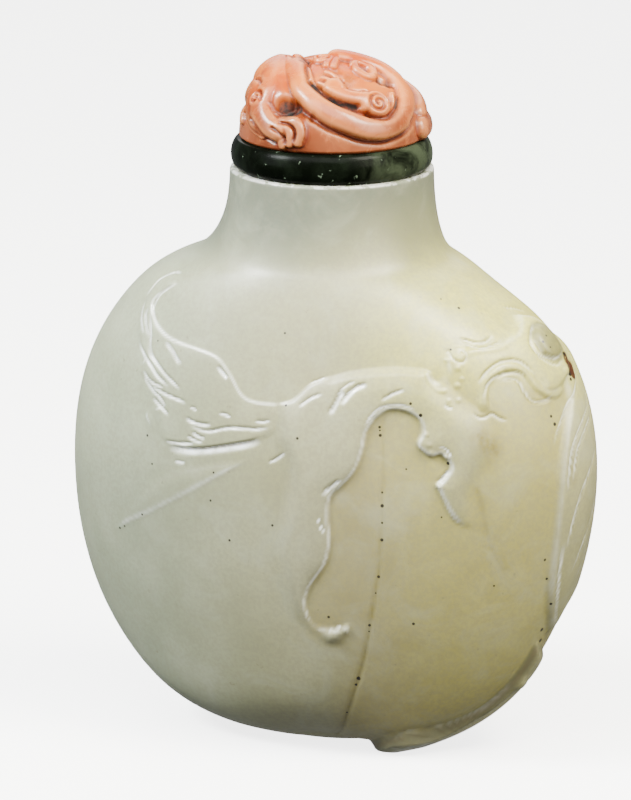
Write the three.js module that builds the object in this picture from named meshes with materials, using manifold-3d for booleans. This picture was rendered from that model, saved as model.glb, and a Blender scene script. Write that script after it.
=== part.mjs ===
// A small carved snuff bottle: a flattened, rounded body of pale jade with a wide neck and a hollow
// inside, low relief over the front and the right-hand side, and a stopper made of a dark green
// collar with a domed coral cap carved as a coiled chi dragon.
//
// Millimetres, +Z up. The origin is the middle of the foot, the front face looks along -Y and the
// right-hand narrow side along +X. Places on the body are given as [turn, height]: the turn in
// degrees round the body from the middle of the front towards the right-hand side, and the height
// above the underside of the body. A low foot lifts that underside off whatever the bottle stands
// on. Places on the cap are [turn, rise], both in degrees, as on a globe.
import * as THREE from 'three';
import { mergeVertices } from 'three/addons/utils/BufferGeometryUtils.js';
import { TessellateModifier } from 'three/addons/modifiers/TessellateModifier.js';
import Module from 'manifold-3d';

// ---- Driving dimensions of the bottle: [half width, half depth, height] along its outline ----
const BODY_HEIGHT = 57.5;
const UNDERSIDE = [7.4, 5.0, 0];
const BELLY = [27.3, 15.2, 26.5];
const SHOULDER = [13.6, 11.4, 48.6];
const LIP = [10.1, 10.1, BODY_HEIGHT];
const OUTLINE = [
  [UNDERSIDE, [18.4, 11.1, 0.7], [27.3, 15.2, 10.0], BELLY],
  [BELLY, [27.3, 15.2, 39.5], [20.6, 12.6, 46.0], SHOULDER],
  [SHOULDER, [11.0, 10.8, 49.6], [10.2, 10.2, 51.8], LIP],
];
const OUTLINE_STEPS = [7, 9, 3];
const OUTLINE_COLUMNS = 52;

// The foot: a low oval pad below the underside, set a little back.
const FOOT_RISE = 0.5;
const FOOT_BACK = 1.2;
const FOOT_EDGE = [6.4, 3.2];
const FOOT_ROOT = [7.4, 4.0];

// The hollow: a round mouth bored down the neck, opening into an oval chamber.
const MOUTH_RADIUS = 4.0;
const MOUTH_FLARE = 0.5;
const BORE_FOOT = [MOUTH_RADIUS, MOUTH_RADIUS, 48.6];
const CHAMBER_BELLY = [23.8, 11.8, 26.5];
const CHAMBER_FLOOR = 4.4;
const CHAMBER = [
  [BORE_FOOT, [4.4, 4.2, 44.4], [23.8, 11.8, 42.0], CHAMBER_BELLY],
  [CHAMBER_BELLY, [23.8, 11.8, 13.0], [14.9, 7.8, CHAMBER_FLOOR], [0, 0, CHAMBER_FLOOR]],
];
const CHAMBER_STEPS = [6, 5];
const CHAMBER_COLUMNS = 22;

// The body isn't quite even: soft hollows and swellings of the ground, each with its middle, how
// far out it moves the skin and how far it reaches round and up.
const UNEVEN = [
  { turn: 95, height: 46.4, out: -1.4, turnReach: 45, heightReach: 2.9 },
  { turn: 92, height: 13, out: -1.0, turnReach: 36, heightReach: 13 },
  { turn: -75, height: 48.5, out: 0.8, turnReach: 45, heightReach: 4.0 },
  { turn: -50, height: 2.5, out: 0.5, turnReach: 30, heightReach: 4.0 },
  { turn: 5, height: 0.5, out: -0.9, turnReach: 18, heightReach: 3.0 },
  { turn: 38, height: 1.0, out: 0.8, turnReach: 15, heightReach: 3.0 },
];

// ---- The stopper ----
const COLLAR_HEIGHT = 3.0;
const COLLAR_EDGE = 9.35;
const COLLAR_BULGE = 10.22;
const COLLAR_ROUNDING = { lower: 0.2, upper: 0.6 };
const CAP_BASE = BODY_HEIGHT + COLLAR_HEIGHT;
const CAP_RADIUS = 9.2;
const CAP_RISE = 7.8;
const CAP_SEAT = 8.95;
const CAP_SKIRT = 0.3;
const CAP_ROWS = 18;
const CAP_COLUMNS = 58;
const CAP_MIDDLE = CAP_BASE + CAP_SKIRT;

// ---- The carving ----
const MM_PER_DEGREE = 0.45;
const RELIEF_ROOT = 1.0;
const RELIEF_CELL = 3.8;
const RIM_SHARE = 0.45;
const NO_FADE = { from: 0, to: 1, share: 1 };

// Each raised form: how high it stands, the turns over which that fades to a share of it, how wide
// its rounded edge is, and its outline as runs of [turn, height] that are smooth within a run and
// meet the next run at a corner.
const RAISED = {
  plume: {
    lift: 0.7,
    edge: 1.6,
    runs: [
      [[2, 36.6], [-7, 36.8], [-12, 39], [-17, 40.5], [-28, 41.1], [-36, 41.8], [-45, 43.2],
        [-49, 44.4], [-45, 46.1]],
      [[-45, 46.1], [-54, 46.4], [-57, 45.1], [-53, 43.3], [-47, 41.3], [-39, 38.8]],
      [[-39, 38.8], [-40, 37.6], [-35, 36.6], [-29, 34.8]],
      [[-29, 34.8], [-34, 33.6], [-31, 31.8]],
      [[-31, 31.8], [-24, 30.5], [-14, 30.9], [-5, 32.4], [2, 34.0]],
      [[2, 34.0], [3, 35.3], [2, 36.6]],
    ],
  },
  flank: {
    lift: 0.85,
    edge: 2.6,
    runs: [
      [[-1, 36.5], [4, 37.1], [10, 39.0], [18, 40.3], [28, 40.8], [38, 40.2]],
      [[38, 40.2], [41, 38.9], [46, 38.4], [52, 36.4], [53, 32.6], [46, 28.5], [46, 24.7]],
      [[46, 24.7], [41, 26.3], [37, 29.3]],
      [[37, 29.3], [40, 31.0], [38, 32.2], [35, 32.0], [32, 33.1], [35, 34.7], [33, 36.2],
        [28, 36.6], [22, 35.2]],
      [[22, 35.2], [20, 32.8], [18, 30.1], [13, 27.6], [12, 25.2], [13, 22.8], [10, 19.0],
        [7, 16.6], [9, 14.0], [16, 14.2]],
      [[16, 14.2], [17, 12.9], [14, 12.0], [8, 13.1], [2, 16.0], [-1, 21.9], [2, 29.4],
        [-1, 33.0], [-1, 36.5]],
    ],
  },
  head: {
    lift: 1.1,
    edge: 1.8,
    runs: [
      [[40, 38.6], [44, 40.2], [46, 42.0], [52, 42.7], [62, 42.3], [72, 43.2], [84, 44.2]],
      [[84, 44.2], [93, 43.0], [94, 40.2], [84, 37.4], [74, 36.9], [66, 38.2]],
      [[66, 38.2], [64, 35.8], [57, 35.3], [50, 35.6], [40, 38.6]],
    ],
  },
  mane: {
    lift: 0.6,
    edge: 2.2,
    runs: [
      [[83, 44.4], [96, 43.4], [110, 41.0], [120, 36.5], [124, 30.0], [120, 23.0], [108, 16.5],
        [86, 12.4]],
      [[86, 12.4], [76, 17.0], [72, 22.5], [75, 30.0], [83, 34.4], [84, 39.5], [83, 44.4]],
    ],
  },
  blade: {
    lift: 0.35,
    edge: 1.4,
    runs: [
      [[-47, 20.6], [-28, 24.6], [-5, 30.9]],
      [[-5, 30.9], [-24, 28.6], [-37, 24.6], [-47, 20.6]],
    ],
  },
  baseLeaf: {
    lift: 1.6,
    fade: { from: 60, to: 95, share: 0.5 },
    edge: 1.2,
    runs: [
      [[36, 1.6], [42, 2.6], [50, 2.8], [60, 3.0], [70, 4.4], [75, 7.6], [78, 11.4]],
      [[78, 11.4], [92, 9.8], [108, 6.4], [116, 2.6], [104, 0.7], [76, 0.3], [48, 0.2],
        [38, 0.5], [36, 1.6]],
    ],
  },
};

// Rounded bands that lie along the carving: their half width, how far they stand above the skin,
// and their line as [turn, height].
const BAND_SIDES = 5;
const BANDS = {
  jaw: {
    radius: 0.6,
    lift: 0.55,
    line: [[84, 38.0], [77, 37.3], [71, 38.2], [67, 39.8], [60, 40.3], [53, 39.0], [50, 36.8],
      [51, 35.4], [57, 35.6]],
  },
  brow: {
    radius: 0.6,
    lift: 0.5,
    line: [[80, 43.6], [70, 42.7], [62, 41.8], [53, 42.0], [47, 41.4], [46, 39.9]],
  },
  fold: {
    radius: 0.5,
    lift: 0.5,
    line: [[32, 38.5], [25, 37.2], [21, 34.6], [18, 30.2], [13, 27.6], [12, 25.2], [13, 22.8],
      [9, 18.4], [7, 15.8], [10, 13.6], [16, 13.4]],
  },
};

// The round boss on the head, and the crease that runs down the front like the cleft of a peach.
const BOSS = { turn: 86, height: 41.6, radius: 1.7, lift: 1.0, stretch: 1.25, flatness: 0.45 };
const CLEFT = {
  radius: 0.42,
  lift: 0.12,
  line: [[25, 35.4], [25, 28], [23.5, 19], [21, 11], [18, 4], [17, 1.6]],
};

// The dragon on the cap: bodies as lines of [turn, rise], with their half width at each end.
const DRAGON = {
  back: {
    from: 1.3,
    to: 1.0,
    line: [[-58, 65], [-18, 57], [-4, 46], [8, 37], [25, 25], [46, 15], [69, 18], [89, 34],
      [97, 54], [88, 72], [60, 84]],
  },
  haunch: {
    from: 1.9,
    to: 1.2,
    line: [[-75, 58], [-49, 53], [-37, 42], [-34, 26], [-24, 16], [-12, 10]],
  },
  foreleg: { from: 0.8, to: 1.1, line: [[21, 45], [30, 39], [37, 36], [46, 34]] },
  petal: { from: 0.6, to: 0.6, line: [[72, 70], [80, 63], [68, 55], [57, 60], [66, 70]] },
  brow: { from: 1.0, to: 0.8, line: [[101, 18], [118, 24], [140, 30], [165, 42], [190, 50]] },
  tail: { from: 1.2, to: 0.9, line: [[95, 8], [120, 8], [140, 14], [158, 26]] },
  hindleg: { from: 1.1, to: 0.8, line: [[-75, 48], [-84, 30], [-100, 16], [-122, 10]] },
  loop: { from: 1.1, to: 0.8, line: [[-170, 52], [-150, 40], [-125, 34], [-105, 44], [-85, 58]] },
};
const CURLS = {
  ear: { turn: -43, rise: 31, reach: 0.9, width: 0.5 },
  cheek: { turn: 55, rise: 32, reach: 1.2, width: 0.6 },
  crown: { turn: -8, rise: 78, reach: 0.8, width: 0.5 },
  knee: { turn: -150, rise: 20, reach: 1.6, width: 0.55 },
};
const CLAWS = {
  front: { root: [-14, 14], tips: [[-9, 5], [-3, 5], [3, 10]] },
  raised: { root: [26, 48], tips: [[9, 51], [13, 56], [18, 60]] },
};
const CLAW_WIDTH = 0.6;
const CURL_TURNS = 1.5;
const CURL_TIGHTENING = 0.85;
const BEADS_PER_SPAN = 6;
const CAP_FULLNESS = 0.72;

const wasm = await Module();
wasm.setup();

// A solid from a closed mesh, with its shared vertices merged.
function toSolid(geometry) {
  geometry.deleteAttribute('normal');
  geometry.deleteAttribute('uv');
  const merged = mergeVertices(geometry, 1e-4);
  return new wasm.Manifold(new wasm.Mesh({
    numProp: 3,
    vertProperties: merged.getAttribute('position').array,
    triVerts: new Uint32Array(merged.index.array),
  }));
}

function fromTriangles(corners) {
  const positions = corners.flatMap((corner) => [corner.x, corner.y, corner.z]);
  return new THREE.BufferGeometry().setAttribute('position', new THREE.Float32BufferAttribute(positions, 3));
}

function toGeometry(solid) {
  const mesh = solid.getMesh();
  const geometry = new THREE.BufferGeometry();
  geometry.setAttribute('position', new THREE.BufferAttribute(new Float32Array(mesh.vertProperties), 3));
  geometry.setIndex(new THREE.BufferAttribute(new Uint32Array(mesh.triVerts), 1));
  geometry.computeVertexNormals();
  return geometry;
}

// Points [half width, half depth, height] down a chain of cubic curves.
function sections(chain, steps) {
  const points = [new THREE.Vector3(...chain[0][0])];
  chain.forEach((controls, i) => {
    const curve = new THREE.CubicBezierCurve3(...controls.map((c) => new THREE.Vector3(...c)));
    points.push(...curve.getPoints(steps[i]).slice(1));
  });
  return points;
}

// The outline at close steps, so that a height can be looked up.
const FINE = sections(OUTLINE, [200, 200, 200]);

function sectionAt(height) {
  const z = THREE.MathUtils.clamp(height, 0, BODY_HEIGHT);
  const above = Math.max(1, FINE.findIndex((p) => p.z >= z));
  const share = (z - FINE[above - 1].z) / (FINE[above].z - FINE[above - 1].z);
  return FINE[above - 1].clone().lerp(FINE[above], share);
}

// How far the ground stands out from the even oval at a place on the body.
function unevenness(turn, height) {
  return UNEVEN.reduce((sum, { turn: middle, height: level, out, turnReach, heightReach }) => {
    const across = (THREE.MathUtils.euclideanModulo(turn - middle + 180, 360) - 180) / turnReach;
    const up = (height - level) / heightReach;
    return sum + out * Math.exp(-(across * across + up * up));
  }, 0);
}

// The point of the body's outer skin at a section and a turn.
function skinOfSection(section, turn) {
  const angle = THREE.MathUtils.degToRad(turn);
  const out = section.x > UNDERSIDE[0] ? unevenness(turn, section.z) : 0;
  return new THREE.Vector3(
    (section.x + out) * Math.sin(angle),
    -(section.y + out) * Math.cos(angle),
    section.z,
  );
}

const skin = (turn, height) => skinOfSection(sectionAt(height), turn);

// The point of a plain oval section at a turn.
function ellipsePoint(section, turn) {
  const angle = THREE.MathUtils.degToRad(turn);
  return new THREE.Vector3(section.x * Math.sin(angle), -section.y * Math.cos(angle), section.z);
}

// The point that stands proud of the skin by lift, square to it.
function onSkin(turn, height, lift) {
  const step = 0.3;
  const here = skin(turn, height);
  const across = skin(turn + 1, height).sub(skin(turn - 1, height));
  const up = skin(turn, height + step).sub(skin(turn, height - step));
  return here.addScaledVector(across.cross(up).normalize(), lift);
}

// The closed surface from a first point, through loops of equally many points, to a last point.
function closedLoft(first, loops, last) {
  const corners = [];
  const final = loops[loops.length - 1];
  for (let i = 0; i < final.length; i += 1) {
    const j = (i + 1) % final.length;
    corners.push(first, loops[0][j], loops[0][i]);
    corners.push(last, final[i], final[j]);
    for (let k = 1; k < loops.length; k += 1) {
      corners.push(loops[k - 1][i], loops[k - 1][j], loops[k][j]);
      corners.push(loops[k - 1][i], loops[k][j], loops[k][i]);
    }
  }
  return fromTriangles(corners);
}

// A closed surface through sections, the first and last of them single points on the axis.
function ringLoft(rings, columns, place) {
  const loops = rings.slice(1, -1).map((section) => {
    return Array.from({ length: columns }, (_, i) => place(section, (360 * i) / columns));
  });
  return closedLoft(place(rings[0], 0), loops, place(rings[rings.length - 1], 0));
}

// A tube of one radius with blunt ends along points.
function roundBand(points, radius, sides) {
  const last = points.length - 1;
  const frames = new THREE.CatmullRomCurve3(points).computeFrenetFrames(last);
  const ringAt = (i, scale, shift) => Array.from({ length: sides }, (_, k) => {
    const angle = (2 * Math.PI * k) / sides;
    return points[i].clone()
      .addScaledVector(frames.normals[i], Math.cos(angle) * radius * scale)
      .addScaledVector(frames.binormals[i], Math.sin(angle) * radius * scale)
      .addScaledVector(frames.tangents[i], radius * shift);
  });
  const loops = [ringAt(0, 0.7, -0.6), ...points.map((_, i) => ringAt(i, 1, 0)), ringAt(last, 0.7, 0.6)];
  const start = points[0].clone().addScaledVector(frames.tangents[0], -radius);
  const end = points[last].clone().addScaledVector(frames.tangents[last], radius);
  return closedLoft(start, loops, end);
}

// The smooth line through a list of flat places, with one more point between each two.
function smoothLine(line) {
  const curve = new THREE.SplineCurve(line.map(([a, b]) => new THREE.Vector2(a, b)));
  return curve.getPoints((line.length - 1) * 2);
}

// ---- The bottle ----
function bottleBlank() {
  const rings = [
    new THREE.Vector3(0, 0, 0),
    ...sections(OUTLINE, OUTLINE_STEPS),
    new THREE.Vector3(0, 0, BODY_HEIGHT),
  ];
  return toSolid(ringLoft(rings, OUTLINE_COLUMNS, skinOfSection));
}

function foot() {
  const rings = [
    new THREE.Vector3(0, 0, -FOOT_RISE),
    new THREE.Vector3(...FOOT_EDGE, -FOOT_RISE),
    new THREE.Vector3(...FOOT_ROOT, FOOT_RISE),
    new THREE.Vector3(0, 0, FOOT_RISE),
  ];
  return toSolid(ringLoft(rings, CHAMBER_COLUMNS, ellipsePoint).translate(0, FOOT_BACK, 0));
}

// The space that is drilled out: it runs on past the lip, where the mouth flares a little.
function hollow() {
  const flared = MOUTH_RADIUS + 2 * MOUTH_FLARE;
  const rings = [
    ...sections(CHAMBER, CHAMBER_STEPS).reverse(),
    new THREE.Vector3(MOUTH_RADIUS, MOUTH_RADIUS, BODY_HEIGHT - MOUTH_FLARE),
    new THREE.Vector3(flared, flared, BODY_HEIGHT + MOUTH_FLARE),
    new THREE.Vector3(0, 0, BODY_HEIGHT + MOUTH_FLARE),
  ];
  return toSolid(ringLoft(rings, CHAMBER_COLUMNS, ellipsePoint));
}

// The distance from a point to a closed outline, both in flattened carving coordinates.
function distanceToOutline(x, y, outline) {
  const segment = new THREE.Line3();
  const point = new THREE.Vector3(x, y, 0);
  const closest = new THREE.Vector3();
  return outline.reduce((least, p, i) => {
    const q = outline[(i + 1) % outline.length];
    segment.start.set(p.x, p.y, 0);
    segment.end.set(q.x, q.y, 0);
    segment.closestPointToPoint(point, true, closest);
    return Math.min(least, closest.distanceTo(point));
  }, Infinity);
}

// A raised form: its flat outline is filled, cut into cells, and wrapped onto the body with a
// rounded top and its root inside the wall.
function raisedForm({ runs, lift, edge, fade = NO_FADE }) {
  const outline = runs.flatMap((run) => {
    const flat = run.map(([turn, height]) => [turn * MM_PER_DEGREE, height]);
    return smoothLine(flat).slice(0, -1);
  });
  const slab = new THREE.ExtrudeGeometry(new THREE.Shape(outline), { depth: 1, bevelEnabled: false });
  const cells = new TessellateModifier(RELIEF_CELL, 12).modify(slab);
  const position = cells.getAttribute('position');
  for (let i = 0; i < position.count; i += 1) {
    const x = position.getX(i);
    const y = position.getY(i);
    const crown = Math.min(1, distanceToOutline(x, y, outline) / edge);
    const rounded = Math.sqrt(1 - (1 - crown) * (1 - crown));
    const turn = x / MM_PER_DEGREE;
    const faded = THREE.MathUtils.clamp((turn - fade.from) / (fade.to - fade.from), 0, 1);
    const height = lift * THREE.MathUtils.lerp(1, fade.share, faded);
    const top = height * (RIM_SHARE + (1 - RIM_SHARE) * rounded);
    const placed = onSkin(turn, y, position.getZ(i) > 0.5 ? top : -RELIEF_ROOT);
    position.setXYZ(i, placed.x, placed.y, placed.z);
  }
  return toSolid(cells);
}

function band({ line, radius, lift }) {
  const points = smoothLine(line).map((p) => onSkin(p.x, p.y, lift));
  return toSolid(roundBand(points, radius, BAND_SIDES));
}

// A flattened ball standing square to the skin.
function boss({ turn, height, radius, lift, stretch, flatness }) {
  const ball = new THREE.SphereGeometry(radius, 14, 8);
  ball.scale(1, stretch, flatness);
  const at = onSkin(turn, height, lift);
  const outward = at.clone().sub(skin(turn, height)).normalize();
  ball.applyQuaternion(new THREE.Quaternion().setFromUnitVectors(new THREE.Vector3(0, 0, 1), outward));
  return toSolid(ball.translate(at.x, at.y, at.z));
}

function bottle() {
  const relief = Object.values(RAISED).map(raisedForm);
  const bands = Object.values(BANDS).map(band);
  const forms = [...relief, ...bands, boss(BOSS), foot()];
  const carved = forms.reduce((whole, form) => whole.add(form), bottleBlank());
  return carved.subtract(band(CLEFT)).subtract(hollow()).trimByPlane([0, 0, 1], -FOOT_RISE);
}

// ---- The collar: a flat disc with a rounded edge ----
function collar() {
  const edge = new THREE.CubicBezierCurve(
    new THREE.Vector2(COLLAR_EDGE, BODY_HEIGHT),
    new THREE.Vector2(COLLAR_BULGE, BODY_HEIGHT + COLLAR_ROUNDING.lower),
    new THREE.Vector2(COLLAR_BULGE, CAP_BASE - COLLAR_ROUNDING.upper),
    new THREE.Vector2(COLLAR_EDGE, CAP_BASE),
  );
  const middle = [new THREE.Vector2(0, BODY_HEIGHT), new THREE.Vector2(0, CAP_BASE)];
  const profile = [middle[0], ...edge.getPoints(6), middle[1]];
  return toSolid(new THREE.LatheGeometry(profile, 40).rotateX(Math.PI / 2));
}

// ---- The cap ----
function onCap(turn, rise, lift) {
  const round = THREE.MathUtils.degToRad(turn);
  const up = THREE.MathUtils.degToRad(rise);
  const reach = (CAP_RADIUS + lift) * Math.cos(up);
  return new THREE.Vector3(
    reach * Math.sin(round),
    -reach * Math.cos(round),
    CAP_MIDDLE + (CAP_RISE + lift) * Math.sin(up),
  );
}

// Round beads of a given half width, strung along a line of [turn, rise] on the cap.
function beads({ line, from, to }) {
  const knots = line.map(([turn, rise]) => onCap(turn, rise, 0));
  const steps = (line.length - 1) * BEADS_PER_SPAN;
  return new THREE.CatmullRomCurve3(knots).getPoints(steps).map((at, i) => {
    return { at, radius: THREE.MathUtils.lerp(from, to, i / steps) };
  });
}

// Beads along a flat spiral that winds inwards.
function curl({ turn, rise, reach, width }) {
  const middle = onCap(turn, rise, 0);
  const east = onCap(turn + 2, rise, 0).sub(onCap(turn - 2, rise, 0)).normalize();
  const north = onCap(turn, rise + 2, 0).sub(onCap(turn, rise - 2, 0)).normalize();
  const steps = 24;
  return Array.from({ length: steps + 1 }, (_, i) => {
    const angle = (2 * Math.PI * CURL_TURNS * i) / steps;
    const out = reach * (1 - (CURL_TIGHTENING * i) / steps);
    const at = middle.clone()
      .addScaledVector(east, out * Math.cos(angle))
      .addScaledVector(north, out * Math.sin(angle));
    return { at, radius: width };
  });
}

function paw({ root, tips }) {
  return tips.flatMap((tip) => beads({ line: [root, tip], from: CLAW_WIDTH, to: CLAW_WIDTH }));
}

// The cap is carved in the round from one dome: its surface swells to the nearest bead.
function cap() {
  const forms = [
    ...Object.values(DRAGON).flatMap(beads),
    ...Object.values(CURLS).flatMap(curl),
    ...Object.values(CLAWS).flatMap(paw),
  ];
  const swell = (point) => forms.reduce((most, { at, radius }) => {
    const inside = radius * radius - at.distanceToSquared(point);
    return inside > most * most ? Math.sqrt(inside) : most;
  }, 0);
  const carvedRing = (rise) => (turn) => onCap(turn, rise, CAP_FULLNESS * swell(onCap(turn, rise, 0)));
  const flatRing = (radius) => (turn) => ellipsePoint(new THREE.Vector3(radius, radius, CAP_BASE), turn);
  const rises = Array.from({ length: CAP_ROWS + 1 }, (_, i) => (90 * i) / CAP_ROWS);
  const rings = [flatRing(0), flatRing(CAP_SEAT), ...rises.map(carvedRing)];
  return toSolid(ringLoft(rings, CAP_COLUMNS, (ring, turn) => ring(turn)));
}

// ---- The object ----
function piece(name, solid, look) {
  const mesh = new THREE.Mesh(toGeometry(solid), new THREE.MeshStandardMaterial(look));
  mesh.name = name;
  return mesh;
}

const snuffBottle = new THREE.Group();
snuffBottle.position.z = FOOT_RISE;
snuffBottle.add(
  piece('bottle', bottle(), { color: 0xc9c8b4, roughness: 0.22, metalness: 0 }),
  piece('stopper_collar', collar(), { color: 0x14201a, roughness: 0.15, metalness: 0 }),
  piece('stopper_cap', cap(), { color: 0xe0a07c, roughness: 0.3, metalness: 0 }),
);

export default snuffBottle;
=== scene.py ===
"""The looks of a small carved snuff bottle: pale jade with low relief over its front and right-hand
side, a dark green collar and a coral cap carved as a coiled chi dragon.

Lengths are millimetres until a mesh is made. Places on the body are (turn, height): the turn in
degrees round the body from the middle of the front towards +X, and the height above the underside
of the body, which a low foot lifts off the floor. Places on the cap are (turn, rise) in degrees.
"""

import math

import bpy
import numpy as np
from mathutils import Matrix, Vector


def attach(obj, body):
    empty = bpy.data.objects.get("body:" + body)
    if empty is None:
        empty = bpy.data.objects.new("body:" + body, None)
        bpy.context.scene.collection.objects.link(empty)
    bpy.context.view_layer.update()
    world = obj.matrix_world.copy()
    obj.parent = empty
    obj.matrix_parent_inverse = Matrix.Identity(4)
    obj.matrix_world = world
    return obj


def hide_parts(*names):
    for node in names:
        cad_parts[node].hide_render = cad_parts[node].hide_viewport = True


MM = 0.001

# ---- Driving dimensions, as in the CAD part: (half width, half depth, height) down the outline ----
BODY_HEIGHT = 57.5
UNDERSIDE = (7.4, 5.0, 0.0)
BELLY = (27.3, 15.2, 26.5)
SHOULDER = (13.6, 11.4, 48.6)
LIP = (10.1, 10.1, BODY_HEIGHT)
OUTLINE = [
    (UNDERSIDE, (18.4, 11.1, 0.7), (27.3, 15.2, 10.0), BELLY),
    (BELLY, (27.3, 15.2, 39.5), (20.6, 12.6, 46.0), SHOULDER),
    (SHOULDER, (11.0, 10.8, 49.6), (10.2, 10.2, 51.8), LIP),
]
FOOT_RISE = 0.5
FOOT_BACK = 1.2
FOOT_EDGE = (6.4, 3.2)
FOOT_ROOT = (7.4, 4.0)
MOUTH_RADIUS = 4.0
MOUTH_FLARE = 0.5
LIP_ROUNDING = 0.25
CHAMBER_BELLY = (23.8, 11.8, 26.5)
CHAMBER_FLOOR = 4.4
CHAMBER = [
    ((4.0, 4.0, 48.6), (4.4, 4.2, 44.4), (23.8, 11.8, 42.0), CHAMBER_BELLY),
    (CHAMBER_BELLY, (23.8, 11.8, 13.0), (14.9, 7.8, CHAMBER_FLOOR), (0.0, 0.0, CHAMBER_FLOOR)),
]

# Soft hollows and swellings of the ground: turn, height, how far out, reach round, reach up.
UNEVEN = [
    (95, 46.4, -1.4, 45, 2.9), (92, 13, -1, 36, 13), (-75, 48.5, 0.8, 45, 4), (-50, 2.5, 0.5, 30, 4),
    (5, 0.5, -0.9, 18, 3), (38, 1, 0.8, 15, 3),
]
UNEVEN_START = 0.8

# ---- The mesh of the body: turns and heights are closest together where the carving is fine ----
COLUMN_TURNS = (-62, 0, 60, 126, 298)
COLUMN_STEPS = (0.4, 0.5, 0.8, 3.0)
ROW_HEIGHTS = (0.1, 9, 12, 28, 30, 46, 47.4)
ROW_SPACINGS = (0.5, 0.45, 0.36, 0.34, 0.165, 0.165, 0.3)
CARVED_TOP = 47.4
NECK_COLUMNS = 120
NECK_ROWS = 44
BORE_ROWS = 5
BORE_FOOT = 49.4
CHAMBER_COLUMNS = 72
CHAMBER_STEPS = (24, 24)

# ---- The carving of the body ----
# Round the body, a degree counts as this many millimetres where the carving is laid out flat.
MM_PER_DEGREE = 0.45
# The share of the lift that the edge of each form has at once, and the half width of its wall.
RIM_SHARES = {"flank": 0.24}
RIM_SHARE = 0.45
WALLS = {"base_leaf": 0.45, "mane": 0.4, "head": 0.18}
WALL = 0.13
# The half width of the pale rim line, partly a painted highlight, which widens to the right with
# the mesh.
RIM_TURNS = (10, 36, 70)
RIM_WIDTHS = (0.1, 0.17, 0.24)
RIM_EXTRAS = {"blade": 0.1}
# How pale the crisp rim of each raised form is painted, partly the paler stone at its edge and
# partly a painted highlight.
RIM_PALENESS_AND_HIGHLIGHT = {"plume": 0.5, "flank": 0.38, "head": 0.2, "mane": 0.12, "blade": 0.25}

# Raised forms as in the CAD part: lift, width of the rounded edge, and runs of an outline.
RAISED = {
    "plume": (0.15, 0.9, [
        [(2, 36.6), (-7, 36.8), (-12, 39), (-17, 40.5), (-28, 41.2), (-36, 41.9), (-45, 43.4), (-48, 44.6),
         (-44, 46.3)],
        [(-44, 46.3), (-52, 46.9), (-56, 46), (-54, 44.2), (-47, 41.3), (-39, 38.8)],
        [(-39, 38.8), (-40, 37.6), (-35, 36.6), (-29, 34.8)],
        [(-29, 34.8), (-34, 33.6), (-28, 31.2)],
        [(-28, 31.2), (-23, 30.6), (-14, 30.9), (-5, 32.4), (2, 34)],
        [(2, 34), (3, 35.3), (2, 36.6)],
    ]),
    "flank": (0.62, 3, [
        [(-1, 36.5), (4, 37.1), (8, 38.7), (12, 39.5), (18, 40.3), (28, 40.8), (37.5, 40.6)],
        [(37.5, 40.6), (38.3, 39.6), (40, 39.3), (42, 39.8), (46, 38.4), (52, 36.4), (53, 32.6),
         (46, 28.5), (46, 24.7)],
        [(46, 24.7), (40, 26), (36, 29.3)],
        [(36, 29.3), (38, 30.2), (39.4, 31.3), (37.4, 32.4), (35.4, 32.2), (34, 32.4), (32, 33.4),
         (33.4, 34.6), (33, 35.8), (30, 36.6), (26, 36.7), (22.6, 35.8)],
        [(22.6, 35.8), (20.4, 34.4), (19.5, 32.8), (17.6, 30.6), (14.9, 29.1), (12.3, 27.8), (11.9, 25.6),
         (12.2, 23.2), (11, 20.8), (7.9, 18.6), (6.8, 16.6), (8.3, 14.5), (12, 14), (16.5, 14.5)],
        [(16.5, 14.5), (16.8, 13.4), (15.3, 12.6), (12, 12.3), (8, 13.1), (2, 16), (-1, 21.9), (2, 29.4),
         (-1, 33), (-1, 36.5)],
    ]),
    "head": (1, 1.8, [
        [(41, 39), (43, 40.3), (44.4, 41.8), (49, 42.6), (56, 42.3), (66, 42.6), (76, 43.1), (84, 44.2)],
        [(84, 44.2), (93, 43.2), (94, 40.2), (86, 37.9), (78, 37.2), (72, 37.4), (70, 38.6), (67, 39.7),
         (61, 40.1), (55, 39.2), (52, 38), (51, 36.6)],
        [(51, 36.6), (49, 36), (46, 37), (41, 39)],
    ]),
    "mane": (0.6, 2.2, [
        [(83, 44.4), (96, 43.4), (110, 41), (120, 36.5), (124, 30), (120, 23), (108, 16.5), (84, 12.6)],
        [(84, 12.6), (76, 15.6), (72, 19), (71, 24), (73, 30), (77, 33.4), (84, 36.4), (84, 39.5),
         (83, 44.4)],
    ]),
    "blade": (0.1, 0.8, [
        [(-47, 20.6), (-28, 24.6), (-5, 30.9)],
        [(-5, 30.9), (-24, 28.6), (-37, 24.6), (-47, 20.6)],
    ]),
    "base_leaf": (1.35, 1.9, [
        [(36, 1.3), (42, 2.1), (50, 2.3), (60, 2.6), (70, 4.2), (75, 7.4), (78, 11.4)],
        [(78, 11.4), (92, 9.8), (108, 6.4), (116, 2.6), (104, 0.7), (76, 0.3), (48, 0.2), (38, 0.4),
         (36, 1.3)],
    ]),
}
# Forms that grow lower round the body: the turns from and to, and the share of the lift at each.
FADES = {"base_leaf": (60, 95, 1.0, 0.45), "head": (66, 93, 0.26, 1.0)}
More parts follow.
